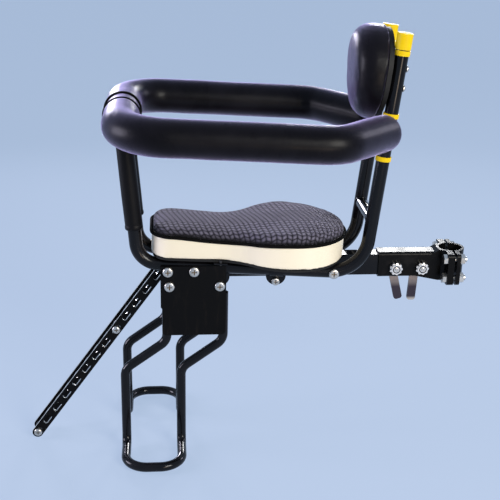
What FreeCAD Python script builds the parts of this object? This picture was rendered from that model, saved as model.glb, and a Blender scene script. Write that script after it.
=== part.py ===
"""Child bike seat with a quick-release seat-post clamp, as a parametric FreeCAD document.

Millimetres, +Z up along the seat post, origin in the middle of the clamp bore. The child faces -X,
so the left side of the seat is at -Y.
"""
import FreeCAD, Part
import math
import os
import re
import types
import Sketcher
from FreeCAD import Placement, Rotation, Vector

DIMENSIONS = {
    # Seat-post clamp
    "post_radius": 15.9,
    "jaw_wall": 3.5,
    "clamp_height": 45,
    "clamp_drop": 1,
    "jaw_gap": 3,
    "lug_bolt_offset": 27,
    "lug_margin": 8.5,
    "front_lug": 9,
    "rear_lug": 5.5,
    "clamp_bolt_radius": 4,
    "clamp_bolt_spacing": 27,
    "clamp_bolt_tail": 3,
    "clamp_hex_radius": 7.5,
    "clamp_head_height": 5.5,
    "clamp_nut_height": 6.5,
    # Arm and its socket
    "arm_height": 30,
    "arm_width": 19.4,
    "arm_wall": 2,
    "arm_clearance": 0.3,
    "arm_rear": 30,
    "arm_front_margin": 11,
    "socket_wall": 2.7,
    "socket_reach": 103,
    "socket_round": 4,
    "socket_end_gap": 1,
    "flare_reach": 44,
    "flare_end": 18,
    "shoulder_reach": 24,
    # Quick release
    "front_skewer": 79,
    "rear_skewer": 42,
    "skewer_drop": 4,
    "skewer_radius": 2.5,
    "skewer_tail": 2,
    "slot_clearance": 0.5,
    "cam_washer_radius": 8,
    "cam_washer_height": 3,
    "cam_radius": 7,
    "cam_offset": 0.8,
    "cam_pin_radius": 3,
    "pin_fit": 0.05,
    "running_gap": 0.3,
    "lever_width": 12,
    "lever_length": 65,
    "lever_thickness": 4.5,
    "lever_bow": 3,
    "lever_tip_round": 4,
    "front_lever_lean": 15,
    "rear_lever_lean": -1.5,
    "lobed_nut_radius": 7,
    "lobed_nut_height": 9,
    "lobe_radius": 2.1,
    "lobe_number": 9,
    "groove_inner": 4,
    "groove_outer": 5.2,
    "groove_depth": 2.5,
    # Frame tubes, measured in the seat's own tilted frame
    "seat_reach": 172,
    "seat_rise": 2.5,
    "seat_tilt": 2.6,
    "tube_radius": 9,
    "tube_wall": 1.6,
    "tube_half_spacing": 40,
    "tube_splay": 2.1,
    "upright_ahead": 40,
    "upright_lean": 7.6,
    "front_bend": 31,
    "post_foot": 41.4,
    "post_lean": 3.7,
    "post_above_rail": 125.5,
    "rear_bend": 50,
    "rail_height": 196,
    "rail_half_spacing": 127,
    "rail_corner": 21,
    "rail_front_bend": 60,
    "rail_rear_bend": 45,
    "cross_bar_height": 76,
    "cross_bar_radius": 8,
    "weld_gap": 0.05,
    # Padding on the tubes
    "pad_radius": 24,
    "pad_gap": 0.3,
    "pad_end_round": 9,
    "collar_half": 16.5,
    "collar_radius": 23,
    "seam": 2,
    "sleeve_radius": 11.7,
    "sleeve_bottom": 47.5,
    "band_thickness": 1.2,
    "band_fit": 0.05,
    "cap_height": 20.5,
    "cap_top": 2,
    "upper_band": 6.5,
    "upper_band_gap": 1.2,
    "rail_band": 6,
    "rail_band_up": 19,
    "rail_band_down": 38,
    # Backrest
    "back_width": 114,
    "back_height": 125,
    "back_above_rail": 7,
    "back_corner": 55,
    "back_pad_depth": 45,
    "back_pad_wedge": 15,
    "back_pad_round": 26,
    "board_depth": 6,
    "board_inset": 4,
    "back_screw_radius": 2,
    "back_screw_head": 4.5,
    "back_screw_top": 42,
    "back_screw_spacing": 25,
    # Cushion
    "pan_thickness": 3,
    "pan_inset": 3,
    "pan_notch_clearance": 2,
    "pan_notch": 62,
    "nose_station": 225,
    "waist_station": 150,
    "rear_station": 60,
    "band_at_nose": 30.5,
    "band_at_waist": 26,
    "band_at_rear": 34,
    "top_at_nose": 42.5,
    "top_at_waist": 39.5,
    "top_at_rear": 49,
    "top_inset": 1,
    "top_round": 10,
    "nose_reach": 246.5,
    "nose_radius": 28,
    "nose_half_width": 51.5,
    "waist_radius": 80,
    "rear_radius": 82,
    "rear_reach": 18,
    # Clips that hold the pan on the side tubes
    "clip_wall": 2,
    "clip_gap": 0.1,
    "clip_length": 18,
    "clip_flange": 20,
    "clip_tab": 4,
    "clip_tab_radius": 13.5,
    "clip_tab_rise": 8,
    "front_clip": 153,
    "front_clip_drop": 22,
    "rear_clip": 77,
    "rear_clip_drop": 17,
    "pan_screw_radius": 1.7,
    "pan_screw_head": 3.4,
    "pan_screw_offset": 15,
    # Side plates and footrests
    "plate_thickness": 3,
    "plate_front_margin": 10,
    "plate_rear_margin": 8.5,
    "plate_top": 16,
    "plate_bottom": -84,
    "plate_step": 2,
    "plate_step_height": -45,
    "plate_round": 6,
    "foot_half_spacing": 41,
    "foot_tube_radius": 6.4,
    "foot_tube_wall": 1.5,
    "foot_tube_top": -25,
    "foot_front_margin": 2,
    "foot_width": 77,
    "foot_jog": 58,
    "foot_jog_top": -96,
    "foot_jog_bottom": -138,
    "foot_jog_bend": 20,
    "foot_bar_height": -252.6,
    "foot_bar_reach": 110,
    "foot_ankle_bend": 14,
    "foot_toe_bend": 30,
    # Bolts through the plates
    "bolt_radius": 3,
    "bolt_clearance": 0.2,
    "bolt_head_radius": 7,
    "bolt_head_height": 4.2,
    "nut_hex_radius": 5.8,
    "nut_height": 5,
    "bolt_tail": 1.5,
    "spacer_radius": 5.2,
    "seat_gap": 0.1,
    "pivot_ahead": 223,
    "pivot_height": 8.5,
    "arm_bolt_back": 35,
    "tie_back": 2,
    "tie_height": -12.6,
    # Strut
    "strut_angle": 36,
    "strip_width": 15,
    "strip_thickness": 3,
    "strip_gap": 0.5,
    "strip_pitch": 24.5,
    "strip_slots": 14,
    "strip_slot_length": 15,
    "strip_slot_width": 6.6,
    "strip_end": 9,
    "strut_middle_slot": 5,
}

doc = FreeCAD.newDocument("ChildBikeSeat")
sheet = doc.addObject("Spreadsheet::Sheet", "Sizes")
for row, (alias, value) in enumerate(DIMENSIONS.items(), 1):
    sheet.set("A%d" % row, alias)
    sheet.set("B%d" % row, str(value))
    sheet.setAlias("B%d" % row, alias)
doc.recompute()
size = types.SimpleNamespace(**{alias: float(sheet.get(alias)) for alias in DIMENSIONS})


# Places worked out from the sizes, as numbers and as expressions
PIVOT_REACH = "(seat_reach + pivot_ahead)"
ARM_FRONT = "(seat_reach + pivot_ahead - arm_front_margin)"
ARM_BOLT_REACH = "(seat_reach + pivot_ahead - arm_bolt_back)"
TIE_REACH = "(seat_reach + pivot_ahead - tie_back)"
PLATE_FRONT = "(seat_reach + pivot_ahead + plate_front_margin)"
CLIP_REACH = ("(seat_reach + front_clip * cos(tube_splay * 1 deg) * cos(seat_tilt * 1 deg)"
              " + front_clip_drop * sin(seat_tilt * 1 deg))")
CLIP_HEIGHT = ("(seat_rise + front_clip * cos(tube_splay * 1 deg) * sin(seat_tilt * 1 deg)"
               " - front_clip_drop * cos(seat_tilt * 1 deg))")
BACK_BOTTOM = "(rail_height + back_above_rail)"
BACK_SCREW_HIGH = "(rail_height + post_above_rail - back_screw_top)"
BACK_SCREW_LOW = "(rail_height + post_above_rail - back_screw_top - back_screw_spacing)"
pivot_reach = size.seat_reach + size.pivot_ahead
arm_bolt_reach = pivot_reach - size.arm_bolt_back
tie_reach = pivot_reach - size.tie_back
upright_foot = size.pivot_ahead + size.upright_ahead
post_height = size.rail_height + size.post_above_rail
back_bottom = size.rail_height + size.back_above_rail
back_screw_high = post_height - size.back_screw_top

ALONG_X = Vector(1, 0, 0)
ALONG_Y = Vector(0, 1, 0)
ALONG_Z = Vector(0, 0, 1)
SIDES = {"left": -1, "right": 1}
nodes = []


# Document helpers

def linked(expression):
    """Prefix each sheet alias in an expression with the sheet's name."""
    return re.sub(r"[a-z_]+", lambda word: "Sizes." + word[0] if word[0] in DIMENSIONS else word[0], expression)


def bind(item, **expressions):
    for name, expression in expressions.items():
        item.setExpression(name, linked(expression))
    return item


def keep(item, label):
    item.Label = label
    nodes.append(item)
    return item


def along(point, direction):
    """Placement at a point whose own Z runs along the direction."""
    return Placement(point, Rotation(ALONG_Z, direction))


def cylinder(radius, height, placement):
    item = bind(doc.addObject("Part::Cylinder", "Cylinder"), Radius=radius, Height=height)
    item.Placement = placement
    return item


def cut(base, *tools):
    tool = tools[0]
    if len(tools) > 1:
        tool = doc.addObject("Part::MultiFuse", "Tools")
        tool.Shapes = list(tools)
    item = doc.addObject("Part::Cut", "Cut")
    item.Base = base
    item.Tool = tool
    return item


def ring(outer, inner, height, placement):
    return cut(cylinder(outer, height, placement), cylinder(inner, height, placement))


def hexagon(radius, height, placement):
    item = bind(doc.addObject("Part::Prism", "Hexagon"), Circumradius=radius, Height=height)
    item.Polygon = 6
    item.Placement = placement
    return item


def group(label, items):
    """One node of like pieces that stay separate solids."""
    doc.recompute()
    item = doc.addObject("Part::Feature", "Group")
    item.Shape = Part.makeCompound([piece.Shape.Solids[0] for piece in items])
    return keep(item, label)


def copies(label, master, placements):
    """One node of equal pieces, each a copy of the master at its own place."""
    doc.recompute()
    item = doc.addObject("Part::Feature", "Copies")
    item.Shape = Part.makeCompound([master.Shape.transformed(place.toMatrix(), True) for place in placements])
    return keep(item, label)


def bent_route(corners, radii):
    """Straight runs joined by tangent arcs."""
    edges = []
    start = corners[0]
    for before, corner, after, radius in zip(corners, corners[1:], corners[2:], radii):
        back = (before - corner).normalize()
        ahead = (after - corner).normalize()
        half_angle = back.getAngle(ahead) / 2
        reach = radius / math.tan(half_angle)
        middle = corner + (back + ahead).normalize() * (radius / math.sin(half_angle) - radius)
        edges.append(Part.LineSegment(start, corner + back * reach).toShape())
        edges.append(Part.Arc(corner + back * reach, middle, corner + ahead * reach).toShape())
        start = corner + ahead * reach
    edges.append(Part.LineSegment(start, corners[-1]).toShape())
    return Part.Wire(edges)


def swept(route, radius):
    """A round section carried along a route of runs and arcs."""
    spine = doc.addObject("Part::Feature", "Route")
    spine.Shape = route
    first = route.OrderedEdges[0]
    section = bind(doc.addObject("Part::Circle", "Section"), Radius=radius)
    section.Placement = along(first.valueAt(first.FirstParameter), first.tangentAt(first.FirstParameter))
    item = doc.addObject("Part::Sweep", "Sweep")
    item.Sections = [section]
    item.Spine = (spine, ["Edge%d" % number for number in range(1, len(route.Edges) + 1)])
    item.Solid = True
    return item


# Sketch and body helpers

def new_body():
    return doc.addObject("PartDesign::Body", "Body")


def sketch_on(body, role, offset="0"):
    """Sketch on one of the body's origin planes, moved along its normal."""
    sketch = body.newObject("Sketcher::SketchObject", "Sketch")
    plane = next(feature for feature in body.Origin.OriginFeatures if feature.Role == role)
    sketch.AttachmentSupport = [(plane, "")]
    sketch.MapMode = "FlatFace"
    sketch.setExpression("AttachmentOffset.Base.z", linked(offset))
    return sketch


def dimension(sketch, constraint, expression):
    number = sketch.addConstraint(constraint)
    sketch.setExpression("Constraints[%d]" % number, linked(expression))


def fix_point(sketch, geometry, vertex, x, y):
    dimension(sketch, Sketcher.Constraint("DistanceX", -1, 1, geometry, vertex, 1.0), x)
    dimension(sketch, Sketcher.Constraint("DistanceY", -1, 1, geometry, vertex, 1.0), y)


def add_outline(sketch, corners):
    """Closed outline of straight lines with every corner dimensioned from the origin."""
    first = sketch.GeometryCount
    number = len(corners)
    spread = [Vector(math.cos(2 * math.pi * k / number), math.sin(2 * math.pi * k / number), 0) for k in range(number)]
    for k in range(number):
        sketch.addGeometry(Part.LineSegment(spread[k], spread[(k + 1) % number]))
    for k in range(number):
        sketch.addConstraint(Sketcher.Constraint("Coincident", first + k, 2, first + (k + 1) % number, 1))
    for k, (x, y) in enumerate(corners):
        fix_point(sketch, first + k, 1, x, y)
    return sketch


def add_rectangle(sketch, left, right, bottom, top):
    return add_outline(sketch, [(left, bottom), (right, bottom), (right, top), (left, top)])


def add_circle(sketch, radius, x="0", y="0"):
    number = sketch.addGeometry(Part.Circle(Vector(0, 0, 0), ALONG_Z, 1.0))
    dimension(sketch, Sketcher.Constraint("Radius", number, 1.0), radius)
    fix_point(sketch, number, 3, x, y)
    return sketch


def pad(body, sketch, length, symmetric=True):
    item = body.newObject("PartDesign::Pad", "Pad")
    item.Profile = sketch
    item.SideType = "Symmetric" if symmetric else "One side"
    return bind(item, Length=length)


def pocket_through(body, sketch, symmetric=True):
    item = body.newObject("PartDesign::Pocket", "Pocket")
    item.Profile = sketch
    item.SideType = "Symmetric" if symmetric else "One side"
    item.Type = "ThroughAll"
    return item


def revolve(body, sketch):
    item = body.newObject("PartDesign::Revolution", "Revolution")
    item.Profile = sketch
    item.ReferenceAxis = (sketch, ["V_Axis"])
    return item


def fillet(body, radius, wanted):
    """Round the edges of the body that the test picks."""
    doc.recompute()
    base = body.Tip
    names = ["Edge%d" % number for number, edge in enumerate(base.Shape.Edges, 1) if wanted(edge)]
    item = body.newObject("PartDesign::Fillet", "Fillet")
    item.Base = (base, names)
    return bind(item, Radius=radius)


def runs_along(edge, direction):
    """True for a straight edge parallel to the direction."""
    return isinstance(edge.Curve, Part.Line) and abs(edge.Curve.Direction.dot(direction)) > 0.999


def pan_bolt(radius, length, head_radius, head_height):
    """Pan-head bolt along Z, its head's underside at the origin and its shank below."""
    body = new_body()
    corners = [("0", "0 - (%s)" % length), (radius, "0 - (%s)" % length), (radius, "0"), (head_radius, "0"),
               (head_radius, "0.4 * %s" % head_height), ("0.6 * %s" % head_radius, head_height), ("0", head_height)]
    revolve(body, add_outline(sketch_on(body, "XZ_Plane"), corners))
    return body


# Reference frames and points

SEAT = Placement(Vector(-size.seat_reach, 0, size.seat_rise), Rotation(ALONG_Y, size.seat_tilt))
POST_DIRECTION = Vector(math.sin(math.radians(size.post_lean)), 0, math.cos(math.radians(size.post_lean)))
UPRIGHT_DIRECTION = Vector(-math.sin(math.radians(size.upright_lean)), 0, math.cos(math.radians(size.upright_lean)))
BACKREST = SEAT * Placement(Vector(size.post_foot, 0, 0), Rotation(ALONG_Y, size.post_lean))


def side_frame(side):
    """Vertical plane of one bent side tube, in the seat's frame."""
    return Placement(Vector(0, side * size.tube_half_spacing, 0), Rotation(ALONG_Z, side * size.tube_splay))


def post_point(height):
    return Vector(size.post_foot, 0, 0) + POST_DIRECTION * (height / POST_DIRECTION.z)


def upright_point(height):
    return Vector(-upright_foot, 0, 0) + UPRIGHT_DIRECTION * (height / UPRIGHT_DIRECTION.z)


def post_tool(side, radius, low, length):
    """Round bar along one back post, to cope or bore what meets it."""
    frame = SEAT * side_frame(side)
    direction = frame.Rotation.multVec(POST_DIRECTION)
    return cylinder(radius, length, along(frame.multVec(post_point(low)), direction))


def upright_tool(side, radius, low, length):
    frame = SEAT * side_frame(side)
    direction = frame.Rotation.multVec(UPRIGHT_DIRECTION)
    return cylinder(radius, length, along(frame.multVec(upright_point(low)), direction))


def tube_point(side, reach):
    """Axis point of a side tube's run under the seat, at a distance ahead of the clamp."""
    frame = SEAT * side_frame(side)
    start = frame.multVec(Vector(0, 0, 0))
    direction = frame.Rotation.multVec(ALONG_X)
    return start + direction * ((-reach - start.x) / direction.x)


# Seat-post clamp: socket and front jaw in one casting, and the rear jaw

BORE = "post_radius"
JAW = BORE + " + jaw_wall"
LUG_REACH = "lug_bolt_offset + lug_margin"
CLAMP_TOP = "clamp_height / 2 - clamp_drop"
CLAMP_BOTTOM = "0 - clamp_height / 2 - clamp_drop"
SOCKET_HALF_HEIGHT = "(arm_height / 2 + arm_clearance + socket_wall)"
SOCKET_HALF_WIDTH = "(arm_width / 2 + arm_clearance + socket_wall)"
SKEWERS = {"front": "front_skewer", "rear": "rear_skewer"}
CLAMP_BOLT_PLACES = [(y, z) for y in ("lug_bolt_offset", "0 - lug_bolt_offset")
                     for z in ("clamp_bolt_spacing / 2 - clamp_drop", "0 - clamp_bolt_spacing / 2 - clamp_drop")]


def bore_and_bolt_holes(body):
    pocket_through(body, add_circle(sketch_on(body, "XY_Plane"), BORE))
    bolt_sketch = sketch_on(body, "YZ_Plane")
    for y, z in CLAMP_BOLT_PLACES:
        add_circle(bolt_sketch, "clamp_bolt_radius + bolt_clearance", y, z)
    pocket_through(body, bolt_sketch)


bracket = new_body()
pad(bracket, add_outline(sketch_on(bracket, "XZ_Plane"), [
    ("0 - socket_reach", "0 - " + SOCKET_HALF_HEIGHT),
    ("0 - flare_reach", "0 - " + SOCKET_HALF_HEIGHT),
    ("0 - flare_end", CLAMP_BOTTOM),
    ("0 - jaw_gap / 2", CLAMP_BOTTOM),
    ("0 - jaw_gap / 2", CLAMP_TOP),
    ("0 - flare_end", CLAMP_TOP),
    ("0 - shoulder_reach", SOCKET_HALF_HEIGHT),
    ("0 - socket_reach", SOCKET_HALF_HEIGHT)]), "2 * " + SOCKET_HALF_WIDTH)
fillet(bracket, "socket_round",
       lambda edge: runs_along(edge, ALONG_X) and edge.Length > (size.socket_reach - size.flare_reach) / 2)
pad(bracket, add_circle(sketch_on(bracket, "XY_Plane", "0 - clamp_drop"), JAW), "clamp_height")
pad(bracket, add_rectangle(sketch_on(bracket, "XY_Plane", "0 - clamp_drop"), "0 - jaw_gap / 2 - front_lug",
                           "0 - jaw_gap / 2", "0 - (%s)" % LUG_REACH, LUG_REACH), "clamp_height")
pocket_through(bracket, add_rectangle(sketch_on(bracket, "XY_Plane"), "0 - jaw_gap / 2", "2 * (%s)" % JAW,
                                      "0 - 2 * (%s)" % JAW, "2 * (%s)" % JAW))
bore_and_bolt_holes(bracket)
pocket_through(bracket, add_rectangle(
    sketch_on(bracket, "YZ_Plane", "socket_end_gap - arm_rear"),
    "0 - arm_width / 2 - arm_clearance", "arm_width / 2 + arm_clearance",
    "0 - arm_height / 2 - arm_clearance", "arm_height / 2 + arm_clearance"), symmetric=False)
skewer_holes = sketch_on(bracket, "XZ_Plane")
for reach in SKEWERS.values():
    add_circle(skewer_holes, "skewer_radius + bolt_clearance", "0 - " + reach, "0 - skewer_drop")
pocket_through(bracket, skewer_holes)
fillet(bracket, "lug_margin / 2", lambda edge: runs_along(edge, ALONG_X)
       and abs(edge.CenterOfMass.y) > size.lug_bolt_offset + size.lug_margin / 2)
keep(bracket, "clamp_bracket")

rear_jaw = new_body()
pad(rear_jaw, add_circle(sketch_on(rear_jaw, "XY_Plane", "0 - clamp_drop"), JAW), "clamp_height")
pad(rear_jaw, add_rectangle(sketch_on(rear_jaw, "XY_Plane", "0 - clamp_drop"), "jaw_gap / 2",
                            "jaw_gap / 2 + rear_lug", "0 - (%s)" % LUG_REACH, LUG_REACH), "clamp_height")
pocket_through(rear_jaw, add_rectangle(sketch_on(rear_jaw, "XY_Plane"), "0 - 2 * (%s)" % JAW, "jaw_gap / 2",
                                       "0 - 2 * (%s)" % JAW, "2 * (%s)" % JAW))
bore_and_bolt_holes(rear_jaw)
fillet(rear_jaw, "lug_margin / 2", lambda edge: runs_along(edge, ALONG_X)
       and abs(edge.CenterOfMass.y) > size.lug_bolt_offset + size.lug_margin / 2)
keep(rear_jaw, "rear_jaw")

CLAMP_BOLT_LENGTH = "front_lug + jaw_gap + rear_lug + clamp_nut_height + clamp_bolt_tail"
head_face = Placement(Vector(-size.jaw_gap / 2 - size.front_lug, 0, 0), Rotation(ALONG_Z, ALONG_X))
hex_bolt = doc.addObject("Part::Fuse", "HexBolt")
hex_bolt.Base = hexagon("clamp_hex_radius", "clamp_head_height",
                        head_face * Placement(Vector(0, 0, -size.clamp_head_height), Rotation()))
hex_bolt.Tool = cylinder("clamp_bolt_radius", CLAMP_BOLT_LENGTH, head_face)
nut_face = Placement(Vector(size.jaw_gap / 2 + size.rear_lug, 0, 0), Rotation(ALONG_Z, ALONG_X))
hex_nut = cut(hexagon("clamp_hex_radius", "clamp_nut_height", nut_face),
              cylinder("clamp_bolt_radius + pin_fit", "clamp_nut_height", nut_face))
clamp_bolt_spots = [Placement(Vector(0, side * size.lug_bolt_offset, level * size.clamp_bolt_spacing / 2
                                     - size.clamp_drop), Rotation())
                    for side in SIDES.values() for level in (-1, 1)]
copies("clamp_bolts", hex_bolt, clamp_bolt_spots)
copies("clamp_nuts", hex_nut, clamp_bolt_spots)


# Quick releases: skewer, cam pin, cam washer, lever and lobed nut, twice

socket_half_width = size.arm_width / 2 + size.arm_clearance + size.socket_wall
cam_centre = socket_half_width + size.cam_washer_height + size.cam_radius + size.cam_offset + size.running_gap
skewer_start = -socket_half_width - size.running_gap - size.lobed_nut_height - size.skewer_tail
skewer_points = {"front": Vector(-size.front_skewer, 0, -size.skewer_drop),
                 "rear": Vector(-size.rear_skewer, 0, -size.skewer_drop)}
lever_leans = {"front": size.front_lever_lean, "rear": size.rear_lever_lean}
CAM_CENTRE = SOCKET_HALF_WIDTH + " + cam_washer_height + cam_radius + cam_offset + running_gap"
SKEWER_LENGTH = "%s + %s + lobed_nut_height + skewer_tail + running_gap" % (CAM_CENTRE, SOCKET_HALF_WIDTH)


def lever_frame(name):
    return Placement(skewer_points[name] + ALONG_Y * cam_centre, Rotation(ALONG_Y, -lever_leans[name]))


def cam_lever(name):
    """Forked cam with a slightly bowed handle, its pivot along its own X."""
    body = new_body()
    pad(body, add_circle(sketch_on(body, "YZ_Plane"), "cam_radius", "0 - cam_offset"), "lever_width")
    pad(body, add_outline(sketch_on(body, "YZ_Plane"), [
        ("0 - lever_thickness / 2", "0"), ("0 - lever_thickness / 2", "0 - lever_length / 2"),
        ("lever_bow - lever_thickness / 2", "0 - lever_length"),
        ("lever_bow + lever_thickness / 2", "0 - lever_length"),
        ("lever_thickness / 2", "0 - lever_length / 2"), ("lever_thickness / 2", "0")]), "lever_width")
    pocket_through(body, add_rectangle(
        sketch_on(body, "XZ_Plane"), "0 - skewer_radius - running_gap", "skewer_radius + running_gap",
        "0 - skewer_radius - running_gap", "2 * cam_radius"))
    pocket_through(body, add_circle(sketch_on(body, "YZ_Plane"), "cam_pin_radius + pin_fit"))
    tip = -size.lever_length
    fillet(body, "lever_tip_round", lambda edge: runs_along(edge, ALONG_Y) and edge.CenterOfMass.z < tip / 2)
    body.Placement = lever_frame(name)
    return keep(body, name + "_qr_lever")


def lobed_nut(name):
    """Finger nut with rounded lobes, threaded on the skewer's near end."""
    body = new_body()
    pad(body, add_circle(sketch_on(body, "XY_Plane"), "lobed_nut_radius"), "lobed_nut_height", symmetric=False)
    lobe = pad(body, add_circle(sketch_on(body, "XY_Plane"), "lobe_radius", "lobed_nut_radius"),
               "0.7 * lobed_nut_height", symmetric=False)
    doc.recompute()
    pattern = body.newObject("PartDesign::PolarPattern", "Lobes")
    pattern.Originals = [lobe]
    pattern.Axis = (lobe.Profile[0], ["N_Axis"])
    pattern.Angle = 360
    bind(pattern, Occurrences="lobe_number")
    body.Tip = pattern
    pocket_through(body, add_circle(sketch_on(body, "XY_Plane"), "skewer_radius + pin_fit"))
    groove_sketch = add_circle(sketch_on(body, "XY_Plane", "lobed_nut_height"), "groove_outer")
    groove = body.newObject("PartDesign::Pocket", "Groove")
    groove.Profile = add_circle(groove_sketch, "groove_inner")
    bind(groove, Length="groove_depth")
    body.Placement = along(skewer_points[name] - ALONG_Y * (socket_half_width + size.running_gap), -ALONG_Y)
    return keep(body, name + "_lobed_nut")


pin_parts = []
rod_parts = []
washer_parts = []
for name, point in skewer_points.items():
    frame = lever_frame(name)
    pivot_axis = frame.Rotation.multVec(ALONG_X)
    rod_place = along(point + ALONG_Y * skewer_start, ALONG_Y)
    rod_parts.append(cylinder("skewer_radius", SKEWER_LENGTH, rod_place))
    pin_parts.append(cut(cylinder("cam_pin_radius", "lever_width",
                                  along(frame.Base - pivot_axis * (size.lever_width / 2), pivot_axis)),
                         cylinder("skewer_radius", SKEWER_LENGTH, rod_place)))
    washer_parts.append(ring("cam_washer_radius", "skewer_radius + bolt_clearance", "cam_washer_height",
                             along(point + ALONG_Y * socket_half_width, ALONG_Y)))
    cam_lever(name)
    lobed_nut(name)
group("skewer_rods", rod_parts)
group("cam_pins", pin_parts)
group("cam_washers", washer_parts)


# Arm: rectangular tube with an open slot for the skewers

arm = new_body()
arm_section = sketch_on(arm, "YZ_Plane", "0 - " + ARM_FRONT)
add_rectangle(arm_section, "0 - arm_width / 2", "arm_width / 2", "0 - arm_height / 2", "arm_height / 2")
add_rectangle(arm_section, "arm_wall - arm_width / 2", "arm_width / 2 - arm_wall",
              "arm_wall - arm_height / 2", "arm_height / 2 - arm_wall")
pad(arm, arm_section, ARM_FRONT + " - arm_rear", symmetric=False)
pocket_through(arm, add_rectangle(
    sketch_on(arm, "XZ_Plane"), "0 - front_skewer", "0",
    "0 - skewer_drop - skewer_radius - slot_clearance", "skewer_radius + slot_clearance - skewer_drop"))
pocket_through(arm, add_circle(sketch_on(arm, "XZ_Plane"), "skewer_radius + slot_clearance",
                               "0 - front_skewer", "0 - skewer_drop"))
arm_holes = sketch_on(arm, "XZ_Plane")
add_circle(arm_holes, "bolt_radius + bolt_clearance", "0 - " + ARM_BOLT_REACH, "pivot_height")
add_circle(arm_holes, "bolt_radius + bolt_clearance", "0 - seat_reach", "seat_rise")
pocket_through(arm, arm_holes)
keep(arm, "arm")


# Frame: two bent side tubes, the ring tube and the cross bar

def cross_drill(reach, height):
    """Drill for a bolt across the whole seat."""
    length = 2 * size.rail_half_spacing
    item = bind(doc.addObject("Part::Cylinder", "Drill"), Radius="bolt_radius + bolt_clearance")
    item.Height = length
    item.Placement = along(Vector(-reach, -length / 2, height), ALONG_Y)
    return item


rail_post = {side: side_frame(side).multVec(post_point(size.rail_height)) for side in SIDES.values()}
rail_front = side_frame(-1).multVec(upright_point(size.rail_height)).x
front_axis = SEAT.multVec(Vector(rail_front, -size.rail_half_spacing, size.rail_height))


def front_crossing(radius):
    """Round bar along the ring's front, across the two uprights."""
    return cylinder(radius, "2 * rail_half_spacing", along(front_axis, ALONG_Y))


back_screw_levels = (back_screw_high - size.back_screw_spacing, back_screw_high)


def back_screw_places(side):
    frame = BACKREST
    offset = abs(side_frame(side).multVec(post_point(back_bottom)).y)
    return [frame * Placement(Vector(size.tube_radius, side * offset, level), Rotation(ALONG_Z, ALONG_X))
            for level in back_screw_levels]


def frame_tube(side):
    frame = SEAT * side_frame(side)
    corners = [upright_point(size.rail_height), Vector(-upright_foot, 0, 0), Vector(size.post_foot, 0, 0),
               post_point(post_height)]
    route = bent_route([frame.multVec(corner) for corner in corners], [size.front_bend, size.rear_bend])
    drills = [cross_drill(pivot_reach, size.pivot_height), cross_drill(arm_bolt_reach, size.pivot_height),
              cross_drill(size.seat_reach, size.seat_rise)]
    for place in back_screw_places(side):
        drills.append(cylinder("back_screw_radius + bolt_clearance", "4 * tube_radius",
                               place * Placement(Vector(0, 0, -3 * size.tube_radius), Rotation())))
    return cut(swept(route, "tube_radius"), swept(route, "tube_radius - tube_wall"),
               front_crossing("tube_radius + weld_gap"), *drills)


def ring_corners(side):
    """Corners of one half of the ring, from the front to the back post."""
    return [Vector(rail_front, side * size.rail_half_spacing, size.rail_height),
            Vector(-size.rail_corner, side * size.rail_half_spacing, size.rail_height), rail_post[side]]


for name, side in SIDES.items():
    keep(frame_tube(side), name + "_frame_tube")

ring_route = bent_route([SEAT.multVec(point) for point in ring_corners(-1)[::-1] + ring_corners(1)],
                        [size.rail_rear_bend, size.rail_front_bend, size.rail_front_bend, size.rail_rear_bend])
TOOL_HALF = size.pad_radius * 2
TOOL_LENGTH = "4 * pad_radius"
keep(cut(swept(ring_route, "tube_radius"), swept(ring_route, "tube_radius - tube_wall"),
         *[post_tool(side, "tube_radius + weld_gap", size.rail_height - TOOL_HALF, TOOL_LENGTH)
           for side in SIDES.values()]), "ring_tube")

bar_ends = [SEAT.multVec(side_frame(side).multVec(post_point(size.cross_bar_height))) for side in SIDES.values()]
bar = doc.addObject("Part::Cylinder", "CrossBar")
bind(bar, Radius="cross_bar_radius")
bar.Height = (bar_ends[1] - bar_ends[0]).Length
bar.Placement = along(bar_ends[0], ALONG_Y)
keep(cut(bar, *[post_tool(side, "tube_radius + weld_gap", size.cross_bar_height - TOOL_HALF, TOOL_LENGTH)
                for side in SIDES.values()]), "cross_bar")


# Padding on the ring and the uprights

def ring_pad(side):
    start = Vector(rail_front, side * (size.collar_half + size.seam), size.rail_height)
    route = bent_route([SEAT.multVec(point) for point in [start] + ring_corners(side)],
                       [size.rail_front_bend, size.rail_rear_bend])
    tube = swept(route, "pad_radius")
    doc.recompute()
    end = SEAT.multVec(rail_post[side])
    end_edge = next(number for number, edge in enumerate(tube.Shape.Edges, 1)
                    if isinstance(edge.Curve, Part.Circle) and edge.Curve.Center.distanceToPoint(end) < size.pad_gap)
    rounded = doc.addObject("Part::Fillet", "PadEnd")
    rounded.Base = tube
    rounded.Edges = [(end_edge, size.pad_end_round, size.pad_end_round)]
    return cut(rounded, swept(route, "tube_radius + pad_gap"),
               post_tool(side, "tube_radius + band_fit + band_thickness + pad_gap", size.rail_height - TOOL_HALF,
                         TOOL_LENGTH),
               upright_tool(side, "tube_radius + pad_gap", size.rail_height - TOOL_HALF, "2 * pad_radius"))


for name, side in SIDES.items():
    keep(ring_pad(side), name + "_ring_pad")
collar_start = SEAT.multVec(Vector(rail_front, -size.collar_half, size.rail_height))
keep(ring("collar_radius", "tube_radius + pad_gap", "2 * collar_half", along(collar_start, ALONG_Y)), "front_collar")
for name, side in SIDES.items():
    SLEEVE_LENGTH = "(rail_height - sleeve_bottom) / cos(upright_lean * 1 deg)"
    keep(cut(upright_tool(side, "sleeve_radius", size.sleeve_bottom, SLEEVE_LENGTH),
             upright_tool(side, "tube_radius + band_fit", size.sleeve_bottom, SLEEVE_LENGTH),
             front_crossing("pad_radius + pad_gap")), name + "_upright_sleeve")


# Yellow caps and bands on the back posts

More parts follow.
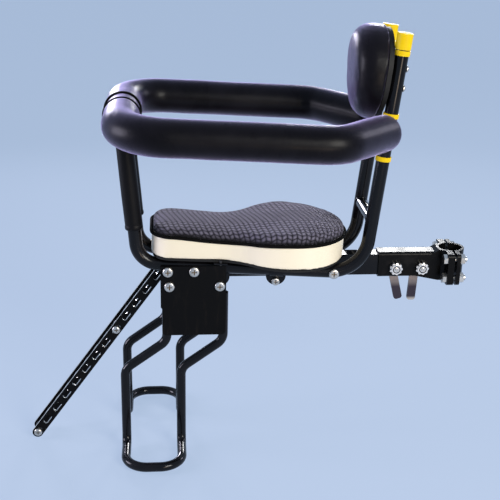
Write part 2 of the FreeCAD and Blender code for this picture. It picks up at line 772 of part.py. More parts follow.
BAND_BORE = "tube_radius + band_fit"
BAND = BAND_BORE + " + band_thickness"
upper_band_low = post_height + size.cap_top - size.cap_height - size.upper_band_gap - size.upper_band
band_levels = [(upper_band_low, "upper_band"), (size.rail_height + size.rail_band_up, "rail_band"),
               (size.rail_height - size.rail_band_down, "rail_band")]
caps = []
bands = []
for side in SIDES.values():
    cap_low = post_height + size.cap_top - size.cap_height
    caps.append(cut(post_tool(side, BAND, cap_low, "cap_height"),
                    post_tool(side, BAND_BORE, cap_low, "cap_height - cap_top + band_fit")))
    for low, height in band_levels:
        bands.append(cut(post_tool(side, BAND, low, height), post_tool(side, BAND_BORE, low, height)))
group("post_caps", caps)
group("post_bands", bands)


# Backrest: board screwed to the posts, and its pad

BOARD_BACK = BAND + " + seat_gap"


def back_panel(depth, back, inset, corner):
    body = new_body()
    pad(body, add_rectangle(sketch_on(body, "YZ_Plane", "0 - (%s) - %s" % (back, depth)),
                            "%s - back_width / 2" % inset, "back_width / 2 - %s" % inset,
                            BACK_BOTTOM + " + " + inset, BACK_BOTTOM + " + back_height - " + inset),
        depth, symmetric=False)
    fillet(body, corner, lambda edge: runs_along(edge, ALONG_X))
    body.Placement = BACKREST
    return body


board = back_panel("board_depth", BOARD_BACK, "board_inset", "back_corner - board_inset")
board_holes = sketch_on(board, "YZ_Plane")
screw_offset = "tube_half_spacing + (post_foot + %s * tan(post_lean * 1 deg)) * sin(tube_splay * 1 deg)" % BACK_BOTTOM
for level in (BACK_SCREW_LOW, BACK_SCREW_HIGH):
    for y in (screw_offset, "0 - (%s)" % screw_offset):
        add_circle(board_holes, "back_screw_radius + 2 * bolt_clearance", y, level)
pocket_through(board, board_holes)
keep(board, "backrest_board")
PAD_FRONT = "0 - (%s) - board_depth - back_pad_depth" % BOARD_BACK
back_pad = back_panel("back_pad_depth", BOARD_BACK + " + board_depth", "0", "back_corner")
pocket_through(back_pad, add_outline(sketch_on(back_pad, "XZ_Plane"), [
    (PAD_FRONT, BACK_BOTTOM + " + back_height"), (PAD_FRONT + " - back_pad_wedge", BACK_BOTTOM),
    (PAD_FRONT + " + back_pad_wedge", BACK_BOTTOM)]))
pad_front = -(size.tube_radius + size.band_fit + size.band_thickness + size.seat_gap + size.board_depth
              + size.back_pad_depth)


def on_pad_front(edge):
    """True for an edge of the pad's sloping front."""
    point = edge.valueAt((edge.FirstParameter + edge.LastParameter) / 2)
    front = pad_front + size.back_pad_wedge * (back_bottom + size.back_height - point.z) / size.back_height
    return abs(point.x - front) < size.seat_gap


fillet(back_pad, "back_pad_round", on_pad_front)
keep(back_pad, "backrest_pad")
back_screw = pan_bolt("back_screw_radius", "2 * tube_radius + band_thickness + board_depth", "back_screw_head",
                      "0.6 * back_screw_head")
copies("backrest_screws", back_screw, [place for side in SIDES.values() for place in back_screw_places(side)])


# Cushion: pan, cream side band and fabric top on one saddle outline

PAN_LEVEL = size.tube_radius + size.clip_gap + size.clip_wall


def saddle_outline(inset):
    """Saddle plan of straight sides, round nose, hollow waist and round rear, in the seat's frame."""
    half = size.nose_half_width - inset
    nose = size.nose_radius - inset
    front = inset - size.nose_reach
    waist = size.waist_radius + inset
    rear = size.rear_radius - inset
    rear_centre = size.rear_reach - size.rear_radius
    waist_start = rear_centre - math.sqrt((waist + rear) ** 2 - (waist + half) ** 2)
    waist_centre = Vector(waist_start, half + waist, 0)
    toward_rear = (Vector(rear_centre, 0, 0) - waist_centre).normalize()
    meet = waist_centre + toward_rear * waist
    waist_middle = waist_centre + (toward_rear + Vector(0, -1, 0)).normalize() * waist
    nose_middle = Vector(front + nose, half - nose, 0) + Vector(-1, 1, 0).normalize() * nose

    def other(point):
        return Vector(point.x, -point.y, 0)

    nose_top = Vector(front, half - nose, 0)
    side_start = Vector(front + nose, half, 0)
    side_end = Vector(waist_start, half, 0)
    return Part.Wire([
        Part.LineSegment(other(nose_top), nose_top).toShape(),
        Part.Arc(nose_top, nose_middle, side_start).toShape(),
        Part.LineSegment(side_start, side_end).toShape(),
        Part.Arc(side_end, waist_middle, meet).toShape(),
        Part.Arc(meet, Vector(rear_centre + rear, 0, 0), other(meet)).toShape(),
        Part.Arc(other(meet), other(waist_middle), other(side_end)).toShape(),
        Part.LineSegment(other(side_end), other(side_start)).toShape(),
        Part.Arc(other(side_start), other(nose_middle), other(nose_top)).toShape()])


def slab(inset, height, level):
    """Saddle outline raised by a height from a level above the side tubes."""
    outline = doc.addObject("Part::Feature", "Saddle")
    outline.Shape = saddle_outline(inset)
    outline.Placement = SEAT * Placement(Vector(0, 0, level), Rotation())
    item = bind(doc.addObject("Part::Extrusion", "Slab"), LengthFwd=height)
    item.Base = outline
    item.DirMode = "Custom"
    item.Dir = SEAT.Rotation.multVec(ALONG_Z)
    item.Solid = True
    return item


clip_stations = {"front": (size.front_clip, size.front_clip_drop), "rear": (size.rear_clip, size.rear_clip_drop)}
pan_screw_spots = []
for side in SIDES.values():
    for station, drop in clip_stations.values():
        for across in (-size.pan_screw_offset, size.pan_screw_offset):
            pan_screw_spots.append(SEAT * side_frame(side) * Placement(
                Vector(-station, across, size.tube_radius + size.clip_gap), Rotation(ALONG_X, 180)))
pan_drills = [cylinder("pan_screw_radius + bolt_clearance", "2 * pan_thickness + 2 * clip_wall",
                       spot * Placement(Vector(0, 0, -2 * size.pan_thickness - size.clip_wall), Rotation()))
              for spot in pan_screw_spots]
notch = bind(doc.addObject("Part::Box", "PanNotch"), Length="2 * pan_notch",
             Width="arm_width + 2 * pan_notch_clearance", Height="4 * pan_thickness")
notch.Placement = SEAT * Placement(Vector(size.rear_reach - size.pan_notch, -size.arm_width / 2
                                          - size.pan_notch_clearance, PAN_LEVEL - size.pan_thickness), Rotation())
keep(cut(slab(size.pan_inset, "pan_thickness", PAN_LEVEL), notch, *pan_drills), "seat_pan")
BAND_LEVEL = PAN_LEVEL + size.pan_thickness
SADDLE_STEPS = 24
LINE_TOLERANCE = 0.5


def saddle_level(reach, nose, waist, rear):
    """Height of a line that dips from the nose to the waist and climbs to the rear, at a distance ahead."""
    if reach > size.waist_station:
        share = (size.nose_station - reach) / (size.nose_station - size.waist_station)
        before, after = nose, waist
    else:
        share = (size.waist_station - reach) / (size.waist_station - size.rear_station)
        before, after = waist, rear
    share = min(max(share, 0), 1)
    return before + (after - before) * share * share * (3 - 2 * share)


def saddle_line(*heights):
    """Points along the side view of the cushion, from ahead of its nose to behind its rear."""
    first = size.nose_reach + size.nose_radius
    last = -size.rear_reach - size.nose_radius
    reaches = [first + (last - first) * k / SADDLE_STEPS for k in range(SADDLE_STEPS + 1)]
    return [Vector(-reach, -2 * size.rear_radius, BAND_LEVEL + saddle_level(reach, *heights)) for reach in reaches]


def side_profile(upper, lower):
    """Everything between two lines in the side view, right across the cushion."""
    curves = []
    for points in (upper, lower):
        curve = Part.BSplineCurve()
        curve.interpolate(points)
        curves.append(curve.toShape())
    ends = [Part.LineSegment(lower[k], upper[k]).toShape() for k in (0, -1)]
    outline = doc.addObject("Part::Feature", "SideView")
    outline.Shape = Part.Wire([curves[0], ends[1], curves[1], ends[0]])
    outline.Placement = SEAT
    item = bind(doc.addObject("Part::Extrusion", "SideProfile"), LengthFwd="4 * rear_radius")
    item.Base = outline
    item.DirMode = "Custom"
    item.Dir = ALONG_Y
    item.Solid = True
    return item


def saddle_block(inset, upper, lower):
    """The part of the saddle outline's prism that lies between two lines in the side view."""
    block = doc.addObject("Part::Common", "SaddleBlock")
    block.Base = slab(inset, "2 * top_at_rear", BAND_LEVEL - size.pan_thickness / 2)
    block.Tool = side_profile(upper, lower)
    return block


base_line = saddle_line(0, 0, 0)
band_line = saddle_line(size.band_at_nose, size.band_at_waist, size.band_at_rear)
top_line = saddle_line(size.top_at_nose, size.top_at_waist, size.top_at_rear)
keep(saddle_block(0, band_line, base_line), "seat_side_band")
top_block = saddle_block(size.top_inset, top_line, band_line)
doc.recompute()
to_seat = SEAT.inverse()


def on_top_line(edge):
    """True for an edge that lies on the cushion's top."""
    point = to_seat.multVec(edge.valueAt((edge.FirstParameter + edge.LastParameter) / 2))
    top = BAND_LEVEL + saddle_level(-point.x, size.top_at_nose, size.top_at_waist, size.top_at_rear)
    return abs(point.z - top) < LINE_TOLERANCE


upper_edges = [number for number, edge in enumerate(top_block.Shape.Edges, 1) if on_top_line(edge)]
seat_top = doc.addObject("Part::Fillet", "SeatTop")
seat_top.Base = top_block
seat_top.Edges = [(number, size.top_round, size.top_round) for number in upper_edges]
keep(seat_top, "seat_top")


# Clips: a ring round the side tube, a flange under the pan and a rounded tab below

def pan_clip(side, station, drop):
    frame = SEAT * side_frame(side) * Placement(Vector(-station, 0, 0), Rotation())
    start = Placement(Vector(-size.clip_length / 2, 0, 0), Rotation(ALONG_Z, ALONG_X))
    shell = cylinder("tube_radius + clip_gap + clip_wall", "clip_length", frame * start)
    flange = bind(doc.addObject("Part::Box", "Flange"), Length="clip_length", Width="2 * clip_flange",
                  Height="clip_wall")
    flange.Placement = frame * Placement(Vector(-size.clip_length / 2, -size.clip_flange,
                                                size.tube_radius + size.clip_gap), Rotation())
    tab_low = size.clip_tab_rise - drop
    tab = bind(doc.addObject("Part::Box", "Tab"), Length="2 * clip_tab_radius", Width="clip_tab")
    tab.Height = -tab_low
    tab.Placement = frame * Placement(Vector(-size.clip_tab_radius, -size.clip_tab / 2, tab_low), Rotation())
    tab_end = cylinder("clip_tab_radius", "clip_tab",
                       frame * along(Vector(0, -size.clip_tab / 2, tab_low), ALONG_Y))
    whole = doc.addObject("Part::MultiFuse", "Clip")
    whole.Shapes = [shell, flange, tab, tab_end]
    bore = cylinder("tube_radius + clip_gap", "2 * clip_length",
                    frame * Placement(Vector(-size.clip_length, 0, 0), Rotation(ALONG_Z, ALONG_X)))
    bolt_hole = cylinder("bolt_radius + 2 * bolt_clearance", "3 * clip_tab",
                         frame * along(Vector(0, -1.5 * size.clip_tab, -drop), ALONG_Y))
    screw_holes = [cylinder("pan_screw_radius + bolt_clearance", "4 * clip_wall",
                            frame * Placement(Vector(0, across, size.tube_radius - size.clip_wall), Rotation()))
                   for across in (-size.pan_screw_offset, size.pan_screw_offset)]
    return cut(whole, bore, bolt_hole, *screw_holes)


group("pan_clips", [pan_clip(side, *station) for side in SIDES.values() for station in clip_stations.values()])
pan_screw = pan_bolt("pan_screw_radius", "clip_wall + pan_thickness - seat_gap", "pan_screw_head",
                     "0.6 * pan_screw_head")
copies("pan_screws", pan_screw, pan_screw_spots)


# Side plates, with the footrest tubes welded to their inner faces

PLATE_INNER = "foot_half_spacing + foot_tube_radius + weld_gap"
plate_inner = size.foot_half_spacing + size.foot_tube_radius + size.weld_gap
plate_outer = plate_inner + size.plate_thickness
clip_bolt_points = {(side, name): (SEAT * side_frame(side)).multVec(Vector(-station, 0, -drop))
                    for side in SIDES.values() for name, (station, drop) in clip_stations.items()}
clip_bolt = clip_bolt_points[(-1, "front")]


def side_plate(side):
    body = new_body()
    offset = PLATE_INNER if side < 0 else "0 - (%s) - plate_thickness" % PLATE_INNER
    plate_rear = "plate_rear_margin - " + CLIP_REACH
    outline = sketch_on(body, "XZ_Plane", offset)
    add_outline(outline, [
        ("0 - " + PLATE_FRONT, "plate_top"), ("0 - " + PLATE_FRONT, "plate_step_height + plate_step"),
        ("plate_step - " + PLATE_FRONT, "plate_step_height"), ("plate_step - " + PLATE_FRONT, "plate_bottom"),
        (plate_rear, "plate_bottom"), (plate_rear, "plate_top")])
    pad(body, outline, "plate_thickness", symmetric=False)
    low = size.plate_bottom
    fillet(body, "plate_round", lambda edge: runs_along(edge, ALONG_Y) and edge.CenterOfMass.z < low + size.seat_gap)
    holes = sketch_on(body, "XZ_Plane")
    hole = "bolt_radius + bolt_clearance"
    add_circle(holes, hole, "0 - " + PIVOT_REACH, "pivot_height")
    add_circle(holes, hole, "0 - " + ARM_BOLT_REACH, "pivot_height")
    add_circle(holes, hole, "0 - " + TIE_REACH, "tie_height")
    add_circle(holes, hole, "0 - " + CLIP_REACH, CLIP_HEIGHT)
    pocket_through(body, holes)
    return body


def footrest(side):
    """One tube from the plate's front edge, out round the foot and back to the plate's rear edge."""
    inner = side * size.foot_half_spacing
    outer = side * size.foot_bar_reach
    front = -pivot_reach - size.foot_front_margin
    toe = front - size.foot_jog
    bar = size.foot_bar_height
    half = [Vector(front, inner, size.foot_tube_top), Vector(front, inner, size.foot_jog_top),
            Vector(toe, inner, size.foot_jog_bottom), Vector(toe, inner, bar), Vector(toe, outer, bar)]
    other_half = [point + ALONG_X * size.foot_width for point in half[::-1]]
    bends = [size.foot_jog_bend, size.foot_jog_bend, size.foot_ankle_bend, size.foot_toe_bend]
    route = bent_route(half + other_half, bends + bends[::-1])
    return cut(swept(route, "foot_tube_radius"), swept(route, "foot_tube_radius - foot_tube_wall"))


for name, side in SIDES.items():
    keep(side_plate(side), name + "_side_plate")
    keep(footrest(side), name + "_footrest")


# Bolts, nuts and spacers across the frame

THROUGH_LENGTH = "2 * (%s + plate_thickness) + nut_height + bolt_tail" % PLATE_INNER
into_seat = Rotation(ALONG_Z, -ALONG_Y)
through_spots = [(pivot_reach, size.pivot_height), (arm_bolt_reach, size.pivot_height),
                 (tie_reach, size.tie_height)]
through_bolt = pan_bolt("bolt_radius", THROUGH_LENGTH, "bolt_head_radius", "bolt_head_height")
copies("through_bolts", through_bolt,
       [Placement(Vector(-reach, -plate_outer, height), into_seat) for reach, height in through_spots])
plain_nut = cut(hexagon("nut_hex_radius", "nut_height", Placement()),
                cylinder("bolt_radius + pin_fit", "nut_height", Placement()))
copies("through_nuts", plain_nut,
       [along(Vector(-reach, plate_outer, height), ALONG_Y) for reach, height in through_spots])

REAR_FACE = "tube_half_spacing + tube_radius + seat_gap + bolt_head_radius * tan(tube_splay * 1 deg)"
rear_face = (size.tube_half_spacing + size.tube_radius + size.seat_gap
             + size.bolt_head_radius * math.tan(math.radians(size.tube_splay)))
rear_bolt = pan_bolt("bolt_radius", "2 * (%s) + nut_height + bolt_tail" % REAR_FACE, "bolt_head_radius",
                     "bolt_head_height")
copies("rear_cross_bolt", rear_bolt, [Placement(Vector(-size.seat_reach, -rear_face, size.seat_rise), into_seat)])
copies("rear_cross_nut", plain_nut, [along(Vector(-size.seat_reach, rear_face, size.seat_rise), ALONG_Y)])

strip_inner = size.arm_width / 2 + size.strip_gap
strip_outer = strip_inner + size.strip_thickness


def spacer(reach, height, start, end):
    """Sleeve on a cross bolt, between two distances from the middle plane."""
    place = along(Vector(-reach, min(start, end), height), ALONG_Y)
    shell = bind(doc.addObject("Part::Cylinder", "Spacer"), Radius="spacer_radius")
    hole = bind(doc.addObject("Part::Cylinder", "SpacerHole"), Radius="bolt_radius + bolt_clearance")
    for item in (shell, hole):
        item.Height = abs(end - start)
        item.Placement = place
    return cut(shell, hole)


def tube_faces(side, reach):
    """Outer and inner side of a side tube at a cross bolt, with a small gap."""
    middle = abs(tube_point(side, reach).y)
    allow = size.tube_radius + 2 * size.seat_gap + size.spacer_radius * math.tan(math.radians(size.tube_splay))
    return side * (middle + allow), side * (middle - allow)


plate_spacers = []
inner_spacers = []
for side in SIDES.values():
    for reach, inner in ((pivot_reach, strip_outer + size.running_gap), (arm_bolt_reach, size.arm_width / 2)):
        outer_face, inner_face = tube_faces(side, reach)
        plate_spacers.append(spacer(reach, size.pivot_height, side * plate_inner, outer_face))
        inner_spacers.append(spacer(reach, size.pivot_height, inner_face, side * inner))
    inner_spacers.append(spacer(size.seat_reach, size.seat_rise, tube_faces(side, size.seat_reach)[1],
                                side * size.arm_width / 2))
group("plate_spacers", plate_spacers)
group("inner_spacers", inner_spacers)
group("tie_spacer", [spacer(tie_reach, size.tie_height, -plate_inner, plate_inner)])
group("pivot_spacer", [spacer(pivot_reach, size.pivot_height, size.running_gap - strip_inner,
                              strip_inner - size.running_gap)])

clip_face = {side: abs(clip_bolt_points[(side, "front")].y) + size.clip_tab / 2 + 2 * size.seat_gap
             for side in SIDES.values()}
group("clip_spacers", [spacer(-clip_bolt.x, clip_bolt.z, side * plate_inner, side * clip_face[side])
                       for side in SIDES.values()])
plate_clip_bolt = pan_bolt("bolt_radius",
                           "%s + plate_thickness - tube_half_spacing + front_clip * sin(tube_splay * 1 deg)"
                           " + clip_tab / 2 + nut_height + bolt_tail" % PLATE_INNER,
                           "bolt_head_radius", "bolt_head_height")
short_clip_bolt = pan_bolt("bolt_radius", "clip_tab + nut_height + bolt_tail", "0.8 * bolt_head_radius",
                           "bolt_head_height")
outward = {side: ALONG_Y * side for side in SIDES.values()}
copies("plate_clip_bolts", plate_clip_bolt,
       [along(Vector(clip_bolt.x, side * plate_outer, clip_bolt.z), outward[side]) for side in SIDES.values()])
half_tab = size.clip_tab / 2 + 2 * size.seat_gap
rear_clip_points = {side: clip_bolt_points[(side, "rear")] for side in SIDES.values()}
copies("rear_clip_bolts", short_clip_bolt,
       [along(point + outward[side] * half_tab, outward[side]) for side, point in rear_clip_points.items()])
copies("clip_nuts", plain_nut,
       [along(point - outward[side] * half_tab, -outward[side])
        for (side, station), point in clip_bolt_points.items()])


# Strut: two perforated strips joined by bolts with spacers, turning on the first through bolt

STRUT = Placement(Vector(-pivot_reach, 0, size.pivot_height), Rotation(ALONG_Y, size.strut_angle))


def strut_strip(side):
    """Flat strip with round ends and a row of slots, hanging along its own -Z from the pivot."""
    body = new_body()
    start = "strip_gap + arm_width / 2"
    offset = start if side < 0 else "0 - (%s) - strip_thickness" % start
    top = "strip_end - strip_width / 2"
    bottom = "strip_width / 2 - strip_end - strip_pitch * (strip_slots - 1)"
    pad(body, add_rectangle(sketch_on(body, "XZ_Plane", offset), "0 - strip_width / 2", "strip_width / 2",
                            bottom, top), "strip_thickness", symmetric=False)
    for level in (top, bottom):
        pad(body, add_circle(sketch_on(body, "XZ_Plane", offset), "strip_width / 2", "0", level),
            "strip_thickness", symmetric=False)
    half_slot = "(strip_slot_length - strip_slot_width) / 2"
    slot = [pocket_through(body, add_rectangle(
        sketch_on(body, "XZ_Plane"), "0 - strip_slot_width / 2", "strip_slot_width / 2",
        "0 - " + half_slot, half_slot))]
    for level in (half_slot, "0 - " + half_slot):
        slot.append(pocket_through(body, add_circle(sketch_on(body, "XZ_Plane"), "strip_slot_width / 2", "0", level)))
    doc.recompute()
    pattern = body.newObject("PartDesign::LinearPattern", "Slots")
    pattern.Originals = slot
    pattern.Direction = (slot[0].Profile[0], ["V_Axis"])
    pattern.Reversed = True
    bind(pattern, Length="strip_pitch * (strip_slots - 1)", Occurrences="strip_slots")
    body.Tip = pattern
    body.Placement = STRUT
    return body


for name, side in SIDES.items():
    keep(strut_strip(side), name + "_strut_strip")
strut_slots = (size.strut_middle_slot, size.strip_slots - 1)
strut_points = [STRUT.multVec(Vector(0, 0, -size.strip_pitch * slot)) for slot in strut_slots]
strut_bolt = pan_bolt("bolt_radius", "arm_width + 2 * (strip_gap + strip_thickness) + nut_height + bolt_tail",
                      "0.8 * bolt_head_radius", "bolt_head_height")
copies("strut_bolts", strut_bolt, [Placement(point - ALONG_Y * strip_outer, into_seat) for point in strut_points])
copies("strut_nuts", plain_nut, [along(point + ALONG_Y * strip_outer, ALONG_Y) for point in strut_points])
group("strut_spacers", [spacer(-point.x, point.z, -strip_inner, strip_inner) for point in strut_points])


# Check and write

doc.recompute()
for item in doc.Objects:
    if "Invalid" in item.State or "Error" in item.State:
        raise RuntimeError("%s %s: %s" % (item.Name, item.Label, item.State))
os.makedirs("parts", exist_ok=True)
for item in nodes:
    shape = item.Shape
    if shape.isNull() or not shape.isValid() or not shape.Solids:
        raise RuntimeError("%s has no valid solid" % item.Label)
    shape.exportStep(os.path.join("parts", item.Label + ".step"))
    print("%-22s solids %2d volume %10.0f" % (item.Label, len(shape.Solids), shape.Volume))
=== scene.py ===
"""Child bike seat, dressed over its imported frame: a studio picture from the left side."""
import bpy
import math
from mathutils import Euler, Matrix, Vector


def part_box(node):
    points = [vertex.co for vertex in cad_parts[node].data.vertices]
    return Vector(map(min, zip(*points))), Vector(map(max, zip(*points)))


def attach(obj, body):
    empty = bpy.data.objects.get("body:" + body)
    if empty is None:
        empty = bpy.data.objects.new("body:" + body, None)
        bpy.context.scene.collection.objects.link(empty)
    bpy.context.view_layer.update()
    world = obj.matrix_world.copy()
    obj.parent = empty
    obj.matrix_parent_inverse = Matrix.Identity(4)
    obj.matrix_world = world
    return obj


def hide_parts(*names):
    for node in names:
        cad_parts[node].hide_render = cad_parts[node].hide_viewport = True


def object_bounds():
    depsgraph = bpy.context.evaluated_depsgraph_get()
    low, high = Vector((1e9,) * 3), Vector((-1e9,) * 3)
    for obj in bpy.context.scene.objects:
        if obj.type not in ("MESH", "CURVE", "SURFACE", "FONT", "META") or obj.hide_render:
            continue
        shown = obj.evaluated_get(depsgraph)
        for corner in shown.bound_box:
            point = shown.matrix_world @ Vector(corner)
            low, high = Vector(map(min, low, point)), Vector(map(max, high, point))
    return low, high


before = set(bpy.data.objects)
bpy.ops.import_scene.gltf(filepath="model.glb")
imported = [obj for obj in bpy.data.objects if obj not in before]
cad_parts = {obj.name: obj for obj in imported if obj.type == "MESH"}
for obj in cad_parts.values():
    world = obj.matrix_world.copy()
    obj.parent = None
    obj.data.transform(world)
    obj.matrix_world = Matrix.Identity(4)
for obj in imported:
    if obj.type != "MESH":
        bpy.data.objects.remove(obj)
cad_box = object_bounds()


# Seat-post clamp
# A cast aluminium bracket carries the arm's socket and the front half of the bore, and a rear
# jaw closes it. Both wear thick black powder coat, a little rubbed, and four plated hex bolts
# draw them together.

coat_black = (0.0035, 0.0034, 0.0036, 1)
coat_rubbed = (0.012, 0.0115, 0.012, 1)
oxide_black = (0.09, 0.09, 0.095, 1)
oxide_worn = (0.32, 0.31, 0.3, 1)


class Shade:
    """A shader socket: arithmetic on it adds Math nodes to its material."""

    def __init__(self, tree, socket):
        self.tree = tree
        self.socket = socket

    def node(self, kind, settings, sockets, output=0):
        """Add a node, set it up, fill its sockets and hand back one of its outputs."""
        made = self.tree.nodes.new(kind)
        for name, value in settings.items():
            setattr(made, name, value)
        for name, value in sockets.items():
            if isinstance(value, Shade):
                self.tree.links.new(value.socket, made.inputs[name])
            else:
                made.inputs[name].default_value = value
        return Shade(self.tree, made.outputs[output])

    def into(self, shader, socket):
        self.tree.links.new(self.socket, shader.inputs[socket])

    def maths(self, operation, first, second):
        return self.node("ShaderNodeMath", {"operation": operation}, {0: first, 1: second})

    def changed(self, operation):
        """A maths function of this socket alone."""
        return self.maths(operation, self, 0.0)

    def __add__(self, other):
        return self.maths("ADD", self, other)

    __radd__ = __add__

    def __sub__(self, other):
        return self.maths("SUBTRACT", self, other)

    def __rsub__(self, other):
        return self.maths("SUBTRACT", other, self)

    def __mul__(self, other):
        return self.maths("MULTIPLY", self, other)

    __rmul__ = __mul__

    def __pow__(self, other):
        return self.maths("POWER", self, other)


def new_finish(name, fixed):
    """A material, its shader with the even settings made, and object coordinates for patterns."""
    material = bpy.data.materials.new(name)
    material.use_nodes = True
    shader = material.node_tree.nodes["Principled BSDF"]
    for socket, value in fixed.items():
        shader.inputs[socket].default_value = value
    coordinates = material.node_tree.nodes.new("ShaderNodeTexCoord")
    return material, shader, Shade(material.node_tree, coordinates.outputs["Object"])


def along(place, axis):
    """One coordinate of a place: 0 goes rearwards, 1 sideways and 2 up."""
    return place.node("ShaderNodeSeparateXYZ", {}, {"Vector": place}, output=axis)


def stretched(place, scale):
    return place.node("ShaderNodeMapping", {}, {"Vector": place, "Scale": scale})


def speckle(place, scale, detail, roughness=0.5):
    return place.node("ShaderNodeTexNoise", {}, {"Vector": place, "Scale": scale, "Detail": detail,
                                                 "Roughness": roughness})


def cells(place, scale):
    """Distance from the borders of small irregular cells, as in the grain of leather."""
    return place.node("ShaderNodeTexVoronoi", {"feature": "DISTANCE_TO_EDGE"},
                      {"Vector": place, "Scale": scale})


def stored_share(place, name):
    """The share that a piece's points carry under a name, and 0 on pieces without it."""
    return place.node("ShaderNodeAttribute", {"attribute_name": name}, {}, output=2)


def between(mask, low, high):
    """Colour that runs from one to the other as the mask goes from 0 to 1."""
    return mask.node("ShaderNodeMix", {"data_type": "RGBA"}, {0: mask, 6: low, 7: high}, output=2)


def raised(height, strength, distance):
    return height.node("ShaderNodeBump", {}, {"Height": height, "Strength": strength,
                                              "Distance": distance})


def sharpen(mask, low, high):
    """Mask stretched so that low goes to 0 and high goes to 1."""
    return mask.node("ShaderNodeMapRange", {"clamp": True},
                     {"Value": mask, "From Min": low, "From Max": high})


def inside(value, low, high, blend):
    """Mask of the values from low to high, fading out over the blend beyond them."""
    return sharpen(value, low - blend, low) * (1 - sharpen(value, high, high + blend))


def dress(material, *nodes):
    for node in nodes:
        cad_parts[node].material_slots[0].material = material


powder_coat, shader, place = new_finish("powder_coat", {"IOR": 1.5, "Specular IOR Level": 0.1})
rubbed = sharpen(speckle(place, scale=38.0, detail=5.0), low=0.52, high=0.72)
peel = speckle(place, scale=1500.0, detail=2.0)
between(rubbed, coat_black, coat_rubbed).into(shader, "Base Color")
(0.26 + 0.08 * rubbed).into(shader, "Roughness")
raised(peel, strength=0.08, distance=0.0004).into(shader, "Normal")
dress(powder_coat, "clamp_bracket", "rear_jaw")

black_oxide, shader, place = new_finish("black_oxide", {"Metallic": 1.0})
worn = sharpen(speckle(place, scale=160.0, detail=4.0), low=0.45, high=0.7)
between(worn, oxide_black, oxide_worn).into(shader, "Base Color")
(0.3 + 0.25 * speckle(place, scale=420.0, detail=3.0)).into(shader, "Roughness")
dress(black_oxide, "cam_washers", "plate_spacers", "inner_spacers", "tie_spacer", "pivot_spacer",
      "clip_spacers", "strut_spacers", "pan_screws")


# Quick releases
# Each skewer has a cast cam lever at its far end and a lobed finger nut at its near end.
# The levers are gunmetal, paler at the shoulder, and the rear one is paler still at its tip; the
# nuts, skewers and pins are nickel-plated steel.

lever_dark = (0.07, 0.056, 0.066, 1)
lever_pale = (0.3, 0.24, 0.21, 1)
lever_tip_pale = (0.62, 0.54, 0.46, 1)
nickel_clean = (0.62, 0.59, 0.54, 1)
nickel_dull = (0.44, 0.39, 0.32, 1)
recess_brown = (0.2, 0.125, 0.05, 1)
nut_bright = (0.84, 0.8, 0.75, 1)
painted_groove_shade = (0.012, 0.011, 0.01, 1)
front_skewer = -0.079
rear_skewer = -0.042
skewer_height = -0.004
groove_inner = 0.00395
groove_outer = 0.00525
groove_blend = 0.0001

gunmetal, shader, place = new_finish("gunmetal", {"Metallic": 1.0})
lever_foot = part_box("rear_qr_lever")[0]
height = along(place, 2) - lever_foot.z
rearward = along(place, 0) - lever_foot.x
tip = (1 - sharpen(height, low=0.002, high=0.006)) * sharpen(rearward, low=-0.004, high=0.0)
shoulder = sharpen(height, low=0.022, high=0.03)
grit = speckle(place, scale=900.0, detail=4.0)
between(tip, between(shoulder, lever_dark, lever_pale), lever_tip_pale).into(shader, "Base Color")
(0.34 + 0.22 * grit).into(shader, "Roughness")
raised(grit, strength=0.25, distance=0.0003).into(shader, "Normal")
dress(gunmetal, "front_qr_lever", "rear_qr_lever")

nickel, shader, place = new_finish("nickel", {"Metallic": 1.0})
turning = speckle(stretched(place, (1.0, 6.0, 1.0)), scale=260.0, detail=4.0)
tarnish = sharpen(speckle(place, scale=75.0, detail=5.0), low=0.5, high=0.8)
recess = stored_share(place, "recess")
plated = between(tarnish, nickel_clean, nickel_dull)
between(recess, plated, recess_brown).into(shader, "Base Color")
(0.2 + 0.2 * turning + 0.2 * recess).into(shader, "Roughness")
raised(turning, strength=0.12, distance=0.0003).into(shader, "Normal")
dress(nickel, "clamp_bolts", "clamp_nuts", "skewer_rods", "cam_pins", "through_nuts",
      "rear_cross_nut", "clip_nuts", "strut_nuts", "backrest_screws")

nut_nickel, shader, place = new_finish("nut_nickel", {"Metallic": 1.0})
from_front = along(place, 0) - front_skewer
from_rear = along(place, 0) - rear_skewer
level = along(place, 2) - skewer_height
nearest = from_front.maths("MINIMUM", from_front * from_front, from_rear * from_rear)
from_axis = (nearest + level * level) ** 0.5
# The ring over the nut's groove is painted near black and made rougher: painted shade where the
# groove's shadow falls.
groove_shade = inside(from_axis, groove_inner, groove_outer, groove_blend)
between(groove_shade, nut_bright, painted_groove_shade).into(shader, "Base Color")
(0.22 + 0.16 * speckle(place, scale=300.0, detail=4.0) + 0.3 * groove_shade).into(shader, "Roughness")
dress(nut_nickel, "front_lobed_nut", "rear_lobed_nut")


# Arm and frame tubes
# Mild steel tube, bent cold and welded, under wet-look black enamel with a faint ripple in the
# paint. The pan's clips and the footrests wear the same enamel.

enamel_black = (0.003, 0.003, 0.004, 1)
enamel_hazy = (0.009, 0.0085, 0.011, 1)

enamel, shader, place = new_finish("enamel", {"IOR": 1.5, "Specular IOR Level": 0.13,
                                             "Coat Roughness": 0.05, "Coat IOR": 1.5})
ripple = speckle(place, scale=320.0, detail=2.0)
haze = sharpen(speckle(place, scale=24.0, detail=5.0), low=0.5, high=0.75)
between(haze, enamel_black, enamel_hazy).into(shader, "Base Color")
(0.17 + 0.16 * haze).into(shader, "Roughness")
(0.2 - 0.12 * haze).into(shader, "Coat Weight")
raised(ripple, strength=0.06, distance=0.0006).into(shader, "Normal")
dress(enamel, "arm", "left_frame_tube", "right_frame_tube", "ring_tube", "cross_bar", "pan_clips",
      "left_footrest", "right_footrest")
